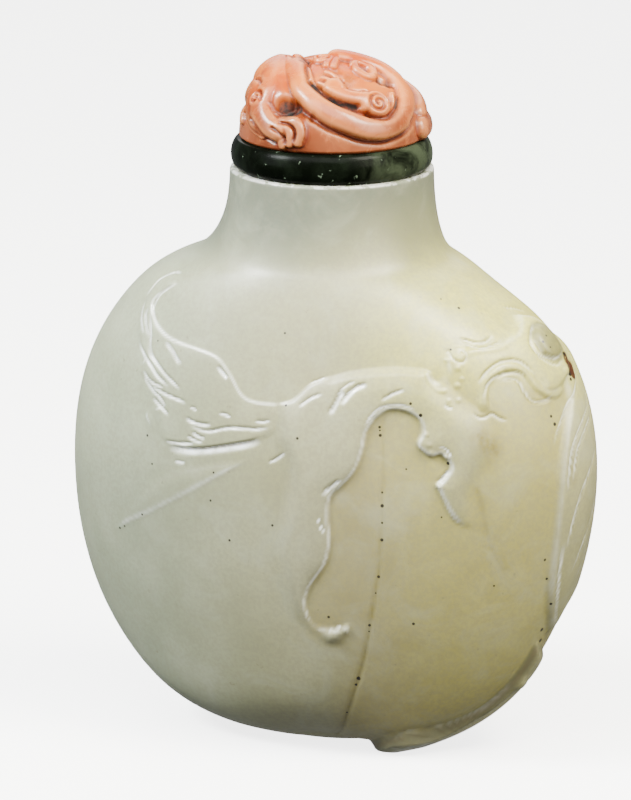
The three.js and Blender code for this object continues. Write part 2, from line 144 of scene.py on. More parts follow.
# Sides of a form that melt into the ground instead of ending in a wall: reach and line.
SOFT_SIDES = {
    "flank": [
        (2.4, [(8, 13.1), (2, 16), (-1, 21.9), (1.5, 29.4), (-1, 33), (-1, 36.1)]),
        (1.1, [(13, 39.9), (18, 40.5), (28, 41), (37, 40.9)]),
        (1.7, [(17.2, 13.2), (15.3, 12.3), (12, 12), (8, 12.8)]),
        (3.4, [(43.5, 40.4), (46, 38.4), (52, 36.4), (53, 32.6), (47, 28.5), (46.6, 24.4)]),
    ],
    "head": [
        (3, [(52, 36.2), (49, 35.8), (46, 36.8), (41, 38.8)]),
        (1.1, [(86, 37.7), (78, 37), (72, 37.2), (70, 38.4), (67, 39.5), (61, 39.9), (55, 39),
            (52, 37.8)]),
        (1.2, [(44, 42.2), (49, 42.9), (56, 42.6), (66, 42.9)]),
    ],
    "plume": [
        (0.9, [(-28, 31), (-23, 30.4), (-14, 30.7), (-5, 32.2), (2, 33.8)]),
        (1.3, [(-45, 46.8), (-52, 47), (-56.4, 46), (-54.4, 44), (-47.4, 41), (-41, 38.6), (-40, 37.4),
            (-36, 36), (-32, 33.8), (-29, 31.2)]),
        (1.4, [(1.5, 33.8), (3, 35.3), (1.5, 36.8)]),
    ],
    "mane": [
        (2.4, [(84, 44.4), (96, 43.4), (110, 41), (120, 36.5), (124, 30), (120, 23), (108, 16.5),
            (96, 14)]),
    ],
    "blade": [
        (1.6, [(-5, 31.4), (-24, 29), (-37, 25), (-47, 20.9)]),
    ],
}

# The leaf at the foot: the painted shade along its edge, its face painted pale in the highlight
# layer, and the turn where the face loses its paleness.
LEAF_EDGE_SHADE = {"strength": 1.1, "middle": 0.1, "width": 0.5}
LEAF_FACE = {"strength": 0.32, "start": 0.8}
LEAF_FACE_END = 80

# Rounded bands: half width, lift and line. The flatness is how far the arch rises for its half width.
BAND_FLATNESS = 0.4
BAND_TAPER = 0.08
BAND_EDGE = 0.16
BANDS = {
    "jaw": (0.5, 0.1, [(84, 38), (77, 37.3), (71, 38.2), (68, 39.8), (61, 40.4), (53, 39.2), (50.6, 37.4),
        (51, 36.2)]),
    "brow": (0.5, 0.08, [(80, 43.6), (70, 42.5), (62, 42), (55, 42), (48, 41.5), (45, 40.6)]),
    "chin": (0.26, 0.26, [(37.2, 40.4), (37, 39.6), (37.6, 38.9), (39, 38.5), (41.5, 38.5)]),
}
BOSS = {"turn": 85, "height": 41.6, "radius": 1.6, "lift": 0.95, "stretch": 1.2, "flatness": 0.35}
BOSS_SINK = 0.25
BOSS_SHADE = 0.85

# Cuts along lines: depth, ramp and line. The deep side is a steep wall on the line, and the floor
# rises over the ramp, which lies to the right of the line's direction, or to its left if negative.
HAIR_CUTS = [
    (0.2, -0.34, [(-52.7, 44), (-50.7, 43.1), (-48.1, 42.3), (-45.5, 41.6), (-43.3, 41.1)]),
    (0.2, -0.32, [(-48.6, 43.6), (-47.4, 42.9), (-45, 42.2), (-42.6, 41.5), (-40.6, 41)]),
    (0.22, -0.34, [(-46, 43.2), (-42.9, 42.2), (-40.6, 41.3), (-39.2, 40.4), (-37.3, 39.5), (-34.7, 38.8),
        (-32, 38.2)]),
    (0.24, 0.36, [(-43.4, 40.5), (-41.6, 39.9), (-38.9, 39.3), (-35.4, 38.5), (-32.5, 37.7),
        (-28.1, 36.9)]),
    (0.22, 0.3, [(-38.8, 40.4), (-36.9, 39.5), (-33.5, 38.8), (-30.6, 38.1), (-27.7, 37.5),
        (-24.5, 36.8)]),
    (0.22, 0.34, [(-37.6, 37.9), (-35.7, 37.3), (-33, 36.9), (-29.6, 36.7)]),
    (0.22, 0.34, [(-37.2, 37.4), (-35.2, 36.8), (-32.6, 36.1), (-30.3, 35.7), (-27.9, 34.9)]),
    (0.22, 0.32, [(-34, 36.6), (-30.5, 36.3), (-27.2, 36), (-24.2, 35.8), (-22.3, 35.6)]),
    (0.22, 0.34, [(-32.6, 35.5), (-30.6, 35), (-28.2, 34.5), (-26.7, 34.1)]),
    (0.24, -0.36, [(-33.9, 40.9), (-30.8, 40.3), (-27.8, 39.4), (-26, 39.1)]),
    (0.26, 0.42, [(-15.5, 39.7), (-14.1, 39.2), (-12.2, 38.6)]),
    (0.18, -0.26, [(-43.9, 46.6), (-45.8, 46), (-47.6, 45.2), (-47.6, 44.6), (-46.4, 43.8), (-44, 43.1),
        (-40.7, 42.4), (-36.9, 41.8), (-33.5, 41.4), (-29.5, 41.1), (-25, 40.9)]),
    (0.16, 0.24, [(-47.6, 47.2), (-51.4, 47.1), (-53.9, 46.7), (-55.4, 46.1), (-54.8, 45.5), (-54.1, 44.9),
        (-53.1, 44.3)]),
    (0.26, 0.38, [(-21.9, 34.2), (-20, 33.9), (-17.7, 33.8), (-15.2, 33.9)]),
    (0.24, 0.34, [(-20.6, 33.6), (-18.6, 33.3), (-16.6, 33.2), (-14.8, 33.3), (-11.2, 33.8), (-6.5, 34),
        (-4.7, 34), (-1.3, 34.3)]),
    (0.24, 0.36, [(-19.7, 32.9), (-18.4, 32.6), (-16.5, 32.4)]),
    (0.22, 0.3, [(-21.1, 32.4), (-19, 32.1), (-17, 32)]),
    (0.24, 0.34, [(-27.1, 31.5), (-24.5, 31.5), (-21.8, 31.6), (-19.2, 31.8)]),
    (0.42, 0.8, [(-26.4, 31.1), (-22.4, 31.1), (-19.4, 31.2), (-15.7, 31.5), (-12.1, 31.9), (-8, 32.4),
        (-5.1, 32.8), (-3.5, 33.2)]),
    (0.2, 0.3, [(-13.4, 35.1), (-12.1, 35.1), (-10.4, 34.9)]),
    (0.2, 0.26, [(-4.6, 34.8), (-2.8, 34.8), (-1.2, 35)]),
    (0.2, 0.26, [(-21, 35.3), (-19.2, 35.1)]),
    (0.16, 0.3, [(-24.2, 29.6), (-21.5, 29.6)]),
    (0.2, 0.3, [(-1.4, 30.8), (0.5, 31.3), (2.4, 32)]),
]
FLANK_CUTS = [
    (0.22, 0.32, [(5.4, 36.6), (7.6, 37.4), (9.3, 37.8), (11, 38.1)]),
    (0.16, 0.26, [(8, 39), (9.9, 39.3), (11.5, 39.6)]),
    (0.34, 0.55, [(12.2, 36.1), (13.6, 37.1), (14.5, 37.8), (15.9, 38.5)]),
    (0.36, 0.55, [(14.9, 37.1), (16.3, 37.9), (17.9, 38.6), (19.5, 39), (21.8, 39.3)]),
    (0.18, 0.26, [(14.2, 37.9), (15.6, 38.6), (17.1, 39.1), (18.9, 39.4)]),
    (0.22, 0.34, [(24.6, 37.7), (26.7, 38.2), (28.4, 38.5), (30.6, 38.8)]),
    (0.2, -0.3, [(20.6, 35), (22.4, 36.1), (24.5, 36.8), (27.4, 37.1), (30, 37), (32.2, 36.6)]),
    (0.26, 0.4, [(10.6, 28.2), (11.7, 28.7), (13.1, 29.3), (14.6, 29.8)]),
    (0.18, 0.24, [(10.1, 25.7), (10.6, 25), (11.3, 24.3)]),
    (0.12, 0.2, [(11.8, 14), (14.1, 14.4), (16, 14.7)]),
    (0.3, 0.5, [(35.9, 29.6), (37.3, 30.2), (38.9, 31)]),
    (0.18, 0.26, [(39.6, 32), (38.4, 32.9), (36.8, 33.1)]),
    (0.18, 0.24, [(40, 37.3), (41, 37), (42, 37)]),
]
HEAD_CUTS = [
    (0.26, 0.34, [(50.8, 43.3), (53.7, 43.1), (55.2, 42.9), (58, 42.8), (60.2, 42.9), (64, 43.3)]),
    (0.22, 0.28, [(51.4, 42.9), (53.2, 42.7), (55.2, 42.4), (57.2, 42.3), (59.8, 42.4), (62, 42.5),
        (66.5, 42.7)]),
    (0.2, 0.26, [(44, 42), (45.9, 42.3), (45.8, 41.8), (46.6, 41.3), (48.6, 41.2), (50, 41.7),
        (49.3, 42.1), (48, 41.8)]),
    (0.28, 0.4, [(50, 39), (51.7, 39.6), (54.3, 40.2), (57.5, 40.7), (61.2, 41), (65.2, 41), (68, 40.7),
        (69.9, 40.1), (71.3, 39.4)]),
    (0.3, 0.36, [(50.3, 37.7), (51.6, 38.4), (52.9, 39), (55.7, 39.6), (59.5, 39.9), (63.4, 40),
        (66.4, 39.7), (67.6, 39)]),
    (0.28, -0.34, [(57.2, 39.2), (60.1, 39.3), (63.2, 39.1), (64.2, 38.6), (64.8, 37.8), (66.4, 37),
        (69.6, 36.7), (73.2, 36.8), (77, 37.3)]),
    (0.24, 0.3, [(75.5, 41), (77.9, 40.4), (80.1, 39.9), (83.2, 39.7), (87.1, 39.9)]),
    (0.3, -0.3, [(86, 43.3), (81.4, 42.9), (77.2, 42.3), (75.2, 41.6), (76, 40.9), (78.8, 40.4),
        (82, 40.1), (86, 40.1), (90.6, 40.4)]),
    (0.2, 0.3, [(46.8, 36.5), (48.3, 36), (50.4, 36), (52.4, 36.3), (54.5, 35.8), (57, 35.5)]),
    (0.2, 0.34, [(84, 45.1), (88, 44.9), (92, 44.7), (98, 44.2)]),
]
MANE_CUTS = [
    (0.26, 0.32, [(95.9, 42.8), (99.1, 41.8), (100, 40.7), (98.1, 39.6), (95.5, 38.7), (93.4, 37.8),
        (89.7, 37.1), (85.2, 36.3), (80.6, 35.4), (76.4, 34.3), (73.7, 33.4), (72, 32.3)]),
    (0.26, 0.32, [(102.7, 39.9), (105.6, 38.7), (105.2, 37.5), (101.8, 36.5), (96.8, 35.6), (93.8, 34.8),
        (88.8, 34.2), (83.3, 33.2), (80, 32.3), (77.8, 31.2), (76.4, 29.6), (75, 27.4)]),
    (0.24, 0.32, [(100.1, 34.8), (94.5, 33.9), (88, 33.1), (81.9, 31.8), (79.4, 30.4), (77.8, 28.6)]),
    (0.22, 0.32, [(98, 31), (90, 29.4), (83, 27.4), (79, 24.8), (77, 22)]),
    (0.22, -0.34, [(74.2, 22.6), (74.4, 20.4), (76, 18), (79, 15.6), (84, 13.2)]),
    (0.2, 0.34, [(112, 36.6), (108, 32), (100, 27), (90, 22.8), (83, 19)]),
    (0.2, 0.34, [(116, 31), (108, 26.4), (98, 21.8), (89, 17.8)]),
    (0.2, 0.34, [(112, 24), (103, 19.6), (94, 16)]),
]
LEAF_CUTS = [
    (0.15, 0.3, [(38, 1.7), (42, 2.5), (50, 2.7), (60, 3), (70, 4.6), (75, 7.8)]),
    (0.3, 0.45, [(60, 2), (68, 3), (75, 4.8), (80, 7), (84, 9.2)]),
    (0.3, 0.4, [(38, 1.3), (46, 1.5), (54, 1.5), (62, 1.7)]),
    (0.22, 0.4, [(84, 2.4), (94, 4.4), (102, 5.6)]),
    (0.22, 0.4, [(78, 6.2), (90, 7.4), (98, 7.8)]),
]
# How bright the painted white highlight on the floors of each group of cuts is; the same layer
# makes the floors glossier.
CUT_GROUPS = (
    (HAIR_CUTS, 1.0),
    (FLANK_CUTS, 1.0),
    (HEAD_CUTS, 0.35),
    (MANE_CUTS, 0.6),
    (LEAF_CUTS, 0.15),
)
# The half width of a cut's wall, the share of its length that it fades over at each end, and the
# painted shadow: a dark line painted at the wall's foot.
CUT_WALL = 0.12
CUT_TAPER = 0.22
SHADOW_LINE = {"strength": 0.55, "back": 0.04, "width": 0.07}

# Small rounded knobs: turn, height, radius, lift.
KNOBS = [
    (44.4, 39, 0.3, 0.16), (43.9, 41.4, 0.26, 0.14), (46, 40.6, 0.28, 0.15), (43.8, 37.6, 0.26, 0.14),
    (46.2, 39.6, 0.24, 0.12), (41.2, 37.6, 0.24, 0.12), (34.3, 34.4, 0.26, 0.14), (34.9, 33.4, 0.24, 0.14),
    (35.2, 32.6, 0.24, 0.12), (80, 7.4, 0.9, 0.25), (86, 38.9, 0.5, 0.2), (38.6, 32.2, 0.3, 0.14),
    (36.2, 29.4, 0.3, 0.16), (16.2, 14.2, 0.3, 0.16),
]

# The crease down the front: a fine line that widens towards the foot between two full lobes.
CLEFT = [(24.6, 36.2), (24, 33.7), (23.6, 29.8), (23.4, 25.7), (22.9, 20), (21.8, 15.5), (20.8, 11),
    (18.6, 5.6), (17.6, 2.2), (17, 0.6)]
CLEFT_HEIGHTS = (0, 6, 14, 22, 36)
CLEFT_DEPTHS = (0.2, 0.17, 0.12, 0.09, 0.06)
CLEFT_WIDTHS = (0.3, 0.26, 0.2, 0.18, 0.16)
VALLEY_DEPTHS = (0.3, 0.18, 0.06, 0.0, 0.0)
VALLEY_WIDTH = 3.2
CLEFT_TOP = 36.6
# The ground under the arch is scooped a little below the rest.
SCOOP = {"turn": 28, "height": 32.5, "depth": 0.3, "turn_reach": 9, "height_reach": 4.2}


def bezier_chain(chain, steps):
    """Points down a chain of cubic curves, with the given number of steps in each."""
    points = [np.array(chain[0][0], float)[None]]
    for controls, count in zip(chain, steps):
        c = np.array(controls, float)
        t = np.linspace(0, 1, count + 1)[1:, None]
        s = 1 - t
        points.append(s**3 * c[0] + 3 * s * s * t * c[1] + 3 * s * t * t * c[2] + t**3 * c[3])
    return np.concatenate(points)


def smooth(x):
    """A soft step from 0 at x = 0 to 1 at x = 1."""
    x = np.clip(x, 0, 1)
    return x * x * (3 - 2 * x)


def bell(x):
    """1 at x = 0, falling away to both sides."""
    return np.exp(-(x**2))


def fade_ends(along, share):
    """A soft start and end of a line, each over a share of its length."""
    return smooth(np.minimum(along, 1 - along) / share)


def distances(points, place):
    return np.linalg.norm(points - place, axis=1)


def flat_grid(across, up):
    """Every pairing of two lists, row by row, as two flat arrays."""
    return [values.ravel() for values in np.meshgrid(across, up)]


FINE = bezier_chain(OUTLINE, (400, 400, 400))


def unevenness(turn, height):
    total = np.zeros(np.broadcast(turn, height).shape)
    for middle, level, out, turn_reach, height_reach in UNEVEN:
        across = ((turn - middle + 180) % 360 - 180) / turn_reach
        up = (height - level) / height_reach
        total += out * np.exp(-(across * across + up * up))
    return total * smooth(height / UNEVEN_START)


def skin(turn, height):
    """Points of the body's outer skin."""
    turn, height = np.broadcast_arrays(np.asarray(turn, float), np.asarray(height, float))
    angle = np.radians(turn)
    out = unevenness(turn, height)
    level = np.clip(height, 0, BODY_HEIGHT)
    wide = np.interp(level, FINE[:, 2], FINE[:, 0]) + out
    deep = np.interp(level, FINE[:, 2], FINE[:, 1]) + out
    return np.stack([wide * np.sin(angle), -deep * np.cos(angle), height], -1)


def unit(vectors):
    return vectors / np.linalg.norm(vectors, axis=-1, keepdims=True)


def skin_normal(turn, height):
    across = skin(turn + 0.5, height) - skin(turn - 0.5, height)
    up = skin(turn, np.minimum(height + 0.15, BODY_HEIGHT)) - skin(turn, np.maximum(height - 0.15, 0))
    return unit(np.cross(across, up))


def smooth_line(line, per_span=6):
    """The smooth line through a list of places, as a Catmull-Rom curve."""
    knots = np.array(line, float)
    if len(knots) == 2:
        return np.linspace(knots[0], knots[1], per_span + 1)
    padded = np.concatenate([2 * knots[:1] - knots[1:2], knots, 2 * knots[-1:] - knots[-2:-1]])
    t = np.linspace(0, 1, per_span, endpoint=False)[:, None]
    spans = []
    for p0, p1, p2, p3 in zip(padded[:-3], padded[1:-2], padded[2:-1], padded[3:]):
        bend = (2 * p0 - 5 * p1 + 4 * p2 - p3) * t * t + (3 * p1 - p0 - 3 * p2 + p3) * t**3
        spans.append(0.5 * (2 * p1 + (p2 - p0) * t + bend))
    return np.concatenate([*spans, knots[-1:]])


def nearest_span(points, line):
    """Each point's distance to a line of points, how far along it that is, from 0 to 1, and which of
    its spans is nearest."""
    gaps = np.full(len(points), np.inf)
    along = np.zeros(len(points))
    spans = np.zeros(len(points), int)
    lengths = np.linalg.norm(np.diff(line, axis=0), axis=1)
    total = max(lengths.sum(), 1e-9)
    travelled = 0.0
    for index, (start, end, length) in enumerate(zip(line[:-1], line[1:], lengths)):
        span = end - start
        share = np.clip(((points - start) @ span) / max(length * length, 1e-12), 0, 1)
        gap = np.linalg.norm(points - start - share[:, None] * span, axis=1)
        closer = gap < gaps
        gaps[closer] = gap[closer]
        along[closer] = (travelled + share[closer] * length) / total
        spans[closer] = index
        travelled += length
    return gaps, along, spans


def nearest(points, line):
    return nearest_span(points, line)[:2]


def side_of(flat, line):
    """+1 for flat points to the left of a flat line's direction, and -1 to its right."""
    spans = nearest_span(flat, line)[2]
    ahead = np.diff(line, axis=0)[spans]
    away = flat - line[spans]
    return np.where(ahead[:, 0] * away[:, 1] - ahead[:, 1] * away[:, 0] >= 0, 1.0, -1.0)


def is_inside(flat, outline):
    """Whether flat points lie inside a closed outline."""
    inside = np.zeros(len(flat), bool)
    for a, b in zip(outline, np.roll(outline, -1, axis=0)):
        crosses = (a[1] > flat[:, 1]) != (b[1] > flat[:, 1])
        rise = b[1] - a[1] if b[1] != a[1] else 1e-9
        inside ^= crosses & (flat[:, 0] < (b[0] - a[0]) * (flat[:, 1] - a[1]) / rise + a[0])
    return inside


def raise_to(layer, found, values):
    """Brings some vertices of a layer up to the given values, where they are lower."""
    layer[found] = np.maximum(layer[found], values)


class Relief:
    """The carving at every vertex of the body's grid: its lift over the skin, and where the stone is
    pale along a rim, partly as a painted highlight, polished and painted with a white highlight in a
    cut, or darkened with painted shade."""

    def __init__(self, turn, height):
        self.turn = turn
        self.height = height
        self.points = skin(turn, height)
        self.flat = np.stack([turn * MM_PER_DEGREE, height], -1)
        self.lift, self.rim, self.polish, self.thin = np.zeros((4, len(turn)))

    def near(self, line, margin):
        """The vertices in a box round a line of (turn, height)."""
        line = np.asarray(line, float)
        round_margin = margin / 0.24
        low, high = line.min(0), line.max(0)
        return np.nonzero(
            (self.turn > low[0] - round_margin) & (self.turn < high[0] + round_margin)
            & (self.height > low[1] - 1.5 * margin) & (self.height < high[1] + 1.5 * margin)
        )[0]

    def gap_to(self, path, found):
        """How far some vertices are from a path on the skin, and how far along it, from 0 to 1."""
        return nearest(self.points[found], skin(path[:, 0], path[:, 1]))

    def raise_form(self, name, lift, edge, runs):
        """A raised form inside an outline: a wall or a soft side, and a rounded top."""
        outline = np.concatenate([smooth_line(run)[:-1] for run in runs])
        found = self.near(outline, 1.0)
        gap, _ = self.gap_to(np.concatenate([outline, outline[:1]]), found)
        inside = is_inside(self.flat[found], outline * (MM_PER_DEGREE, 1))
        gap = np.where(inside, gap, -gap)
        rounded = np.sqrt(1 - (1 - np.clip(gap / edge, 0, 1)) ** 2)
        share = RIM_SHARES.get(name, RIM_SHARE)
        wall = WALLS.get(name, WALL)
        top = lift * (share + (1 - share) * rounded) * smooth((gap + wall) / (2 * wall))
        if name in FADES:
            start, end, first, last = FADES[name]
            top = top * np.interp(self.turn[found], (start, end), (first, last))
        melt = self.soft_sides(name, found)
        top = top * melt
        pale = self.rim_paint(name, found, gap, melt)
        pale = np.where((self.lift[found] > top) & (gap > 0), 0, pale)
        # The rim's paleness goes into the painted highlight layer too, as near white.
        for layer, values in ((self.rim, pale), (self.polish, pale), (self.lift, top)):
            raise_to(layer, found, values)

    def soft_sides(self, name, found):
        """The share of a form that is left where its soft sides melt into the ground."""
        melt = np.ones(len(found))
        for reach, side in SOFT_SIDES.get(name, []):
            away, _ = self.gap_to(smooth_line(side), found)
            melt = melt * smooth(away / reach)
        return melt

    def rim_paint(self, name, found, gap, melt):
        """How pale a form is along its rim, partly as a painted highlight. The leaf at the foot has
        painted shade along its edge and a face painted pale.
        """
        if name == "base_leaf":
            # Painted shade: a dark band along the leaf's edge.
            edge = LEAF_EDGE_SHADE["strength"] * bell((gap - LEAF_EDGE_SHADE["middle"]) / LEAF_EDGE_SHADE["width"])
            self.thin[found] = edge * smooth((gap + 0.5) / 0.3)
            front = smooth((LEAF_FACE_END - self.turn[found]) / 12)
            return LEAF_FACE["strength"] * smooth((gap - LEAF_FACE["start"]) / 0.5) * front
        width = np.interp(self.turn[found], RIM_TURNS, RIM_WIDTHS) + RIM_EXTRAS.get(name, 0)
        line = bell((gap - width) / width)
        return RIM_PALENESS_AND_HIGHLIGHT.get(name, 0.0) * line * smooth((melt - 0.3) / 0.5)

    def add_band(self, radius, lift, line):
        """A low rounded band along a line."""
        path = smooth_line(line)
        found = self.near(path, radius + 0.5)
        gap, along = self.gap_to(path, found)
        end = fade_ends(along, BAND_TAPER)
        arch = (lift + BAND_FLATNESS * np.sqrt(np.clip(radius**2 - gap**2, 0, None))) * end
        arch = arch * smooth((radius + BAND_EDGE - gap) / (2 * BAND_EDGE))
        raise_to(self.lift, found, arch)

    def add_boss(self, turn, height, radius, lift, stretch, flatness):
        """A low dome, taller than it is wide, darkened with painted shade."""
        found = self.near([(turn, height)], radius * stretch + 0.5)
        away = self.points[found] - skin(turn, height)
        outward = skin_normal(float(turn), float(height))
        east = unit(np.cross([0, 0, 1.0], outward))
        north = np.cross(outward, east)
        reach = np.hypot(away @ east / radius, away @ north / (radius * stretch))
        # Painted shade darkens the boss.
        raise_to(self.thin, found, BOSS_SHADE * smooth((1.25 - reach) / 0.2))
        dome = lift + radius * flatness * np.sqrt(np.clip(1 - reach**2, 0, None)) - BOSS_SINK
        raise_to(self.lift, found, dome * smooth((1.06 - reach) / 0.14))

    def add_knob(self, turn, height, radius, lift):
        found = self.near([(turn, height)], radius + 0.3)
        gap = distances(self.points[found], skin(turn, height))
        self.lift[found] += lift * np.sqrt(np.clip(1 - (gap / radius) ** 2, 0, None))

    def cut(self, depth, ramp, line, bright):
        """A cut along a line: a steep wall with a painted shadow line at its foot, and a polished floor
        that rises over the ramp, painted with a white highlight.
        """
        path = smooth_line(line)
        reach = abs(ramp)
        found = self.near(path, reach + 0.4)
        gap, along = self.gap_to(path, found)
        across = gap * side_of(self.flat[found], path * (MM_PER_DEGREE, 1)) * (-1 if ramp > 0 else 1)
        there = fade_ends(along, CUT_TAPER) ** 0.7 * ((along > 0) & (along < 1))
        floor = np.clip(1 - across / reach, 0, 1) * smooth((across + CUT_WALL) / (2 * CUT_WALL))
        self.lift[found] -= depth * floor * there
        # Painted highlight: the floor is painted white, and made glossier, through the highlight layer.
        facet = smooth(across / 0.1) * smooth((reach - across) / (0.5 * reach)) * there
        raise_to(self.polish, found, bright * facet)
        # Painted shadow: a dark line along the foot of the wall.
        shadow_line = bell((across + SHADOW_LINE["back"]) / SHADOW_LINE["width"]) * there
        raise_to(self.thin, found, SHADOW_LINE["strength"] * shadow_line)

    def cleave(self):
        """The fine crease up the front, in a wide shallow valley."""
        path = smooth_line(CLEFT)
        found = self.near(path, 9)
        gap, _ = self.gap_to(path, found)
        level = self.height[found]
        tables = (CLEFT_DEPTHS, CLEFT_WIDTHS, VALLEY_DEPTHS)
        depth, width, valley = (np.interp(level, CLEFT_HEIGHTS, values) for values in tables)
        top = smooth((CLEFT_TOP - level) / 1.2)
        self.lift[found] -= top * depth * np.exp(-np.abs(gap / width) ** 1.4)
        self.lift[found] -= valley * bell(gap / VALLEY_WIDTH)

    def scoop(self, turn, height, depth, turn_reach, height_reach):
        """A shallow hollow in the bare ground."""
        across = (self.turn - turn) / turn_reach
        up = (self.height - height) / height_reach
        bare = smooth(1 - self.lift / 0.2)
        self.lift -= depth * np.exp(-(across**2 + up**2)) * bare


def carve(relief):
    """All of the carving, raised forms first."""
    for name, form in RAISED.items():
        relief.raise_form(name, *form)
    relief.add_boss(**BOSS)
    for band in BANDS.values():
        relief.add_band(*band)
    for knob in KNOBS:
        relief.add_knob(*knob)
    relief.scoop(**SCOOP)
    relief.cleave()
    for cuts, bright in CUT_GROUPS:
        for depth, ramp, line in cuts:
            relief.cut(depth, ramp, line, bright)


# ---- Meshes ----
class Shell:
    """A closed surface through rings of points, each given with the turns of its points."""

    def __init__(self, first):
        self.points = [np.array(first, float)[None]]
        self.faces = []
        self.count = 1
        self.turns = None
        self.start = 0

    def add(self, turns, points):
        start = self.count
        self.points.append(points)
        self.count += len(points)
        if self.turns is None:
            here = start + np.arange(len(turns))
            self.faces += [(0, b, a) for a, b in zip(here, np.roll(here, -1))]
        else:
            self.join(turns, start)
        self.turns = turns
        self.start = start

    def join(self, turns, start):
        if len(turns) == len(self.turns):
            low = self.start + np.arange(len(turns))
            high = start + np.arange(len(turns))
            self.faces += list(zip(low, np.roll(low, -1), np.roll(high, -1), high))
            return
        low, high = self.turns, turns
        i = j = 0
        while i < len(low) or j < len(high):
            next_low = low[i + 1] if i + 1 < len(low) else low[0] + 360
            next_high = high[j + 1] if j + 1 < len(high) else high[0] + 360
            a = self.start + i % len(low)
            b = start + j % len(high)
            if j == len(high) or (i < len(low) and next_low <= next_high):
                self.faces.append((a, self.start + (i + 1) % len(low), b))
                i += 1
            else:
                self.faces.append((a, start + (j + 1) % len(high), b))
                j += 1

    def finish(self, last):
        here = self.start + np.arange(len(self.turns))
        self.points.append(np.array(last, float)[None])
        self.faces += [(a, b, self.count) for a, b in zip(here, np.roll(here, -1))]
        return np.concatenate(self.points), self.faces


def placed(name, data):
    """A new object in the scene that shows some data."""
    made = bpy.data.objects.new(name, data)
    bpy.context.scene.collection.objects.link(made)
    return made


def make_object(name, points, faces, **layers):
    """A smooth-shaded mesh object from millimetre points, lifted by the foot, with painted layers."""
    mesh = bpy.data.meshes.new(name)
    lifted = (points + (0, 0, FOOT_RISE)) * MM
    mesh.from_pydata([tuple(p) for p in lifted], [], [tuple(int(i) for i in f) for f in faces])
    mesh.shade_smooth()
    for key, values in layers.items():
        kind, field = ("FLOAT_COLOR", "color") if values.ndim == 2 else ("FLOAT", "value")
        layer = mesh.attributes.new(key, kind, "POINT")
        layer.data.foreach_set(field, values.astype(np.float32).ravel())
    mesh.validate()
    return placed(name, mesh)


def body_turns():
    """The turns of the body's columns."""
    spans = zip(COLUMN_TURNS[:-1], COLUMN_TURNS[1:], COLUMN_STEPS)
    return np.concatenate([np.arange(a, b - 1e-6, step) for a, b, step in spans])


def row_heights():
    """The heights of the body's rows, spaced along its outline."""
    step = np.diff(FINE, axis=0)
    length = np.sqrt(0.5 * step[:, 0] ** 2 + step[:, 1] ** 2 + step[:, 2] ** 2)
    middle = (FINE[1:, 2] + FINE[:-1, 2]) / 2
    travelled = np.concatenate([[0], np.cumsum(length / np.interp(middle, ROW_HEIGHTS, ROW_SPACINGS))])
    start = np.interp(ROW_HEIGHTS[0], FINE[:, 2], travelled)
    end = np.interp(CARVED_TOP, FINE[:, 2], travelled)
    return np.interp(np.linspace(start, end, int(end - start)), travelled, FINE[:, 2])


def even_turns(count):
    return COLUMN_TURNS[0] + 360 * np.arange(count) / count


def oval(turns, wide, deep, height, back=0.0):
    angle = np.radians(turns)
    return np.stack([wide * np.sin(angle), back - deep * np.cos(angle), np.full(len(turns), height)], -1)


def base_rings():
    """The low oval foot and the flat underside, from the middle outwards."""
    root = [(e + r) / 2 for e, r in zip(FOOT_EDGE, FOOT_ROOT)]
    for (wide, deep), out, height in (
        (FOOT_EDGE, -1.0, -FOOT_RISE), (FOOT_EDGE, -0.15, -FOOT_RISE), (FOOT_EDGE, 0.06, 0.12 - FOOT_RISE),
        (root, -0.1, -0.12), (root, 0.12, -0.01),
    ):
        yield wide + out, deep + out, height, FOOT_BACK
    yield UNDERSIDE[0] - 0.15, UNDERSIDE[1] - 0.15, 0.0, 0.0
    yield UNDERSIDE[0] + 0.2, UNDERSIDE[1] + 0.14, 0.015, 0.0


def neck_rings():
    """The neck above the carving, and the rounded lip, up to the rim of the mouth."""
    for height in np.linspace(CARVED_TOP + 0.3, BODY_HEIGHT - LIP_ROUNDING, NECK_ROWS):
        yield None, None, height
    for angle in np.radians((30, 60, 90)):
        reach = LIP[0] - LIP_ROUNDING * (1 - math.cos(angle))
        yield reach, reach, BODY_HEIGHT - LIP_ROUNDING * (1 - math.sin(angle))
    yield MOUTH_RADIUS + MOUTH_FLARE, MOUTH_RADIUS + MOUTH_FLARE, BODY_HEIGHT


def inner_rings():
    """The flare of the mouth, the bore, and the chamber down to its floor."""
    for share in (0.35, 0.7, 1.0):
        drop = MOUTH_FLARE * share
        radius = MOUTH_RADIUS + MOUTH_FLARE * (1 - math.sin(math.acos(1 - share)))
        yield radius, radius, BODY_HEIGHT - drop
    for height in np.linspace(BODY_HEIGHT - 1.6, BORE_FOOT, BORE_ROWS):
        yield MOUTH_RADIUS, MOUTH_RADIUS, height
    for wide, deep, height in bezier_chain(CHAMBER, CHAMBER_STEPS)[:-1]:
        yield wide, deep, height


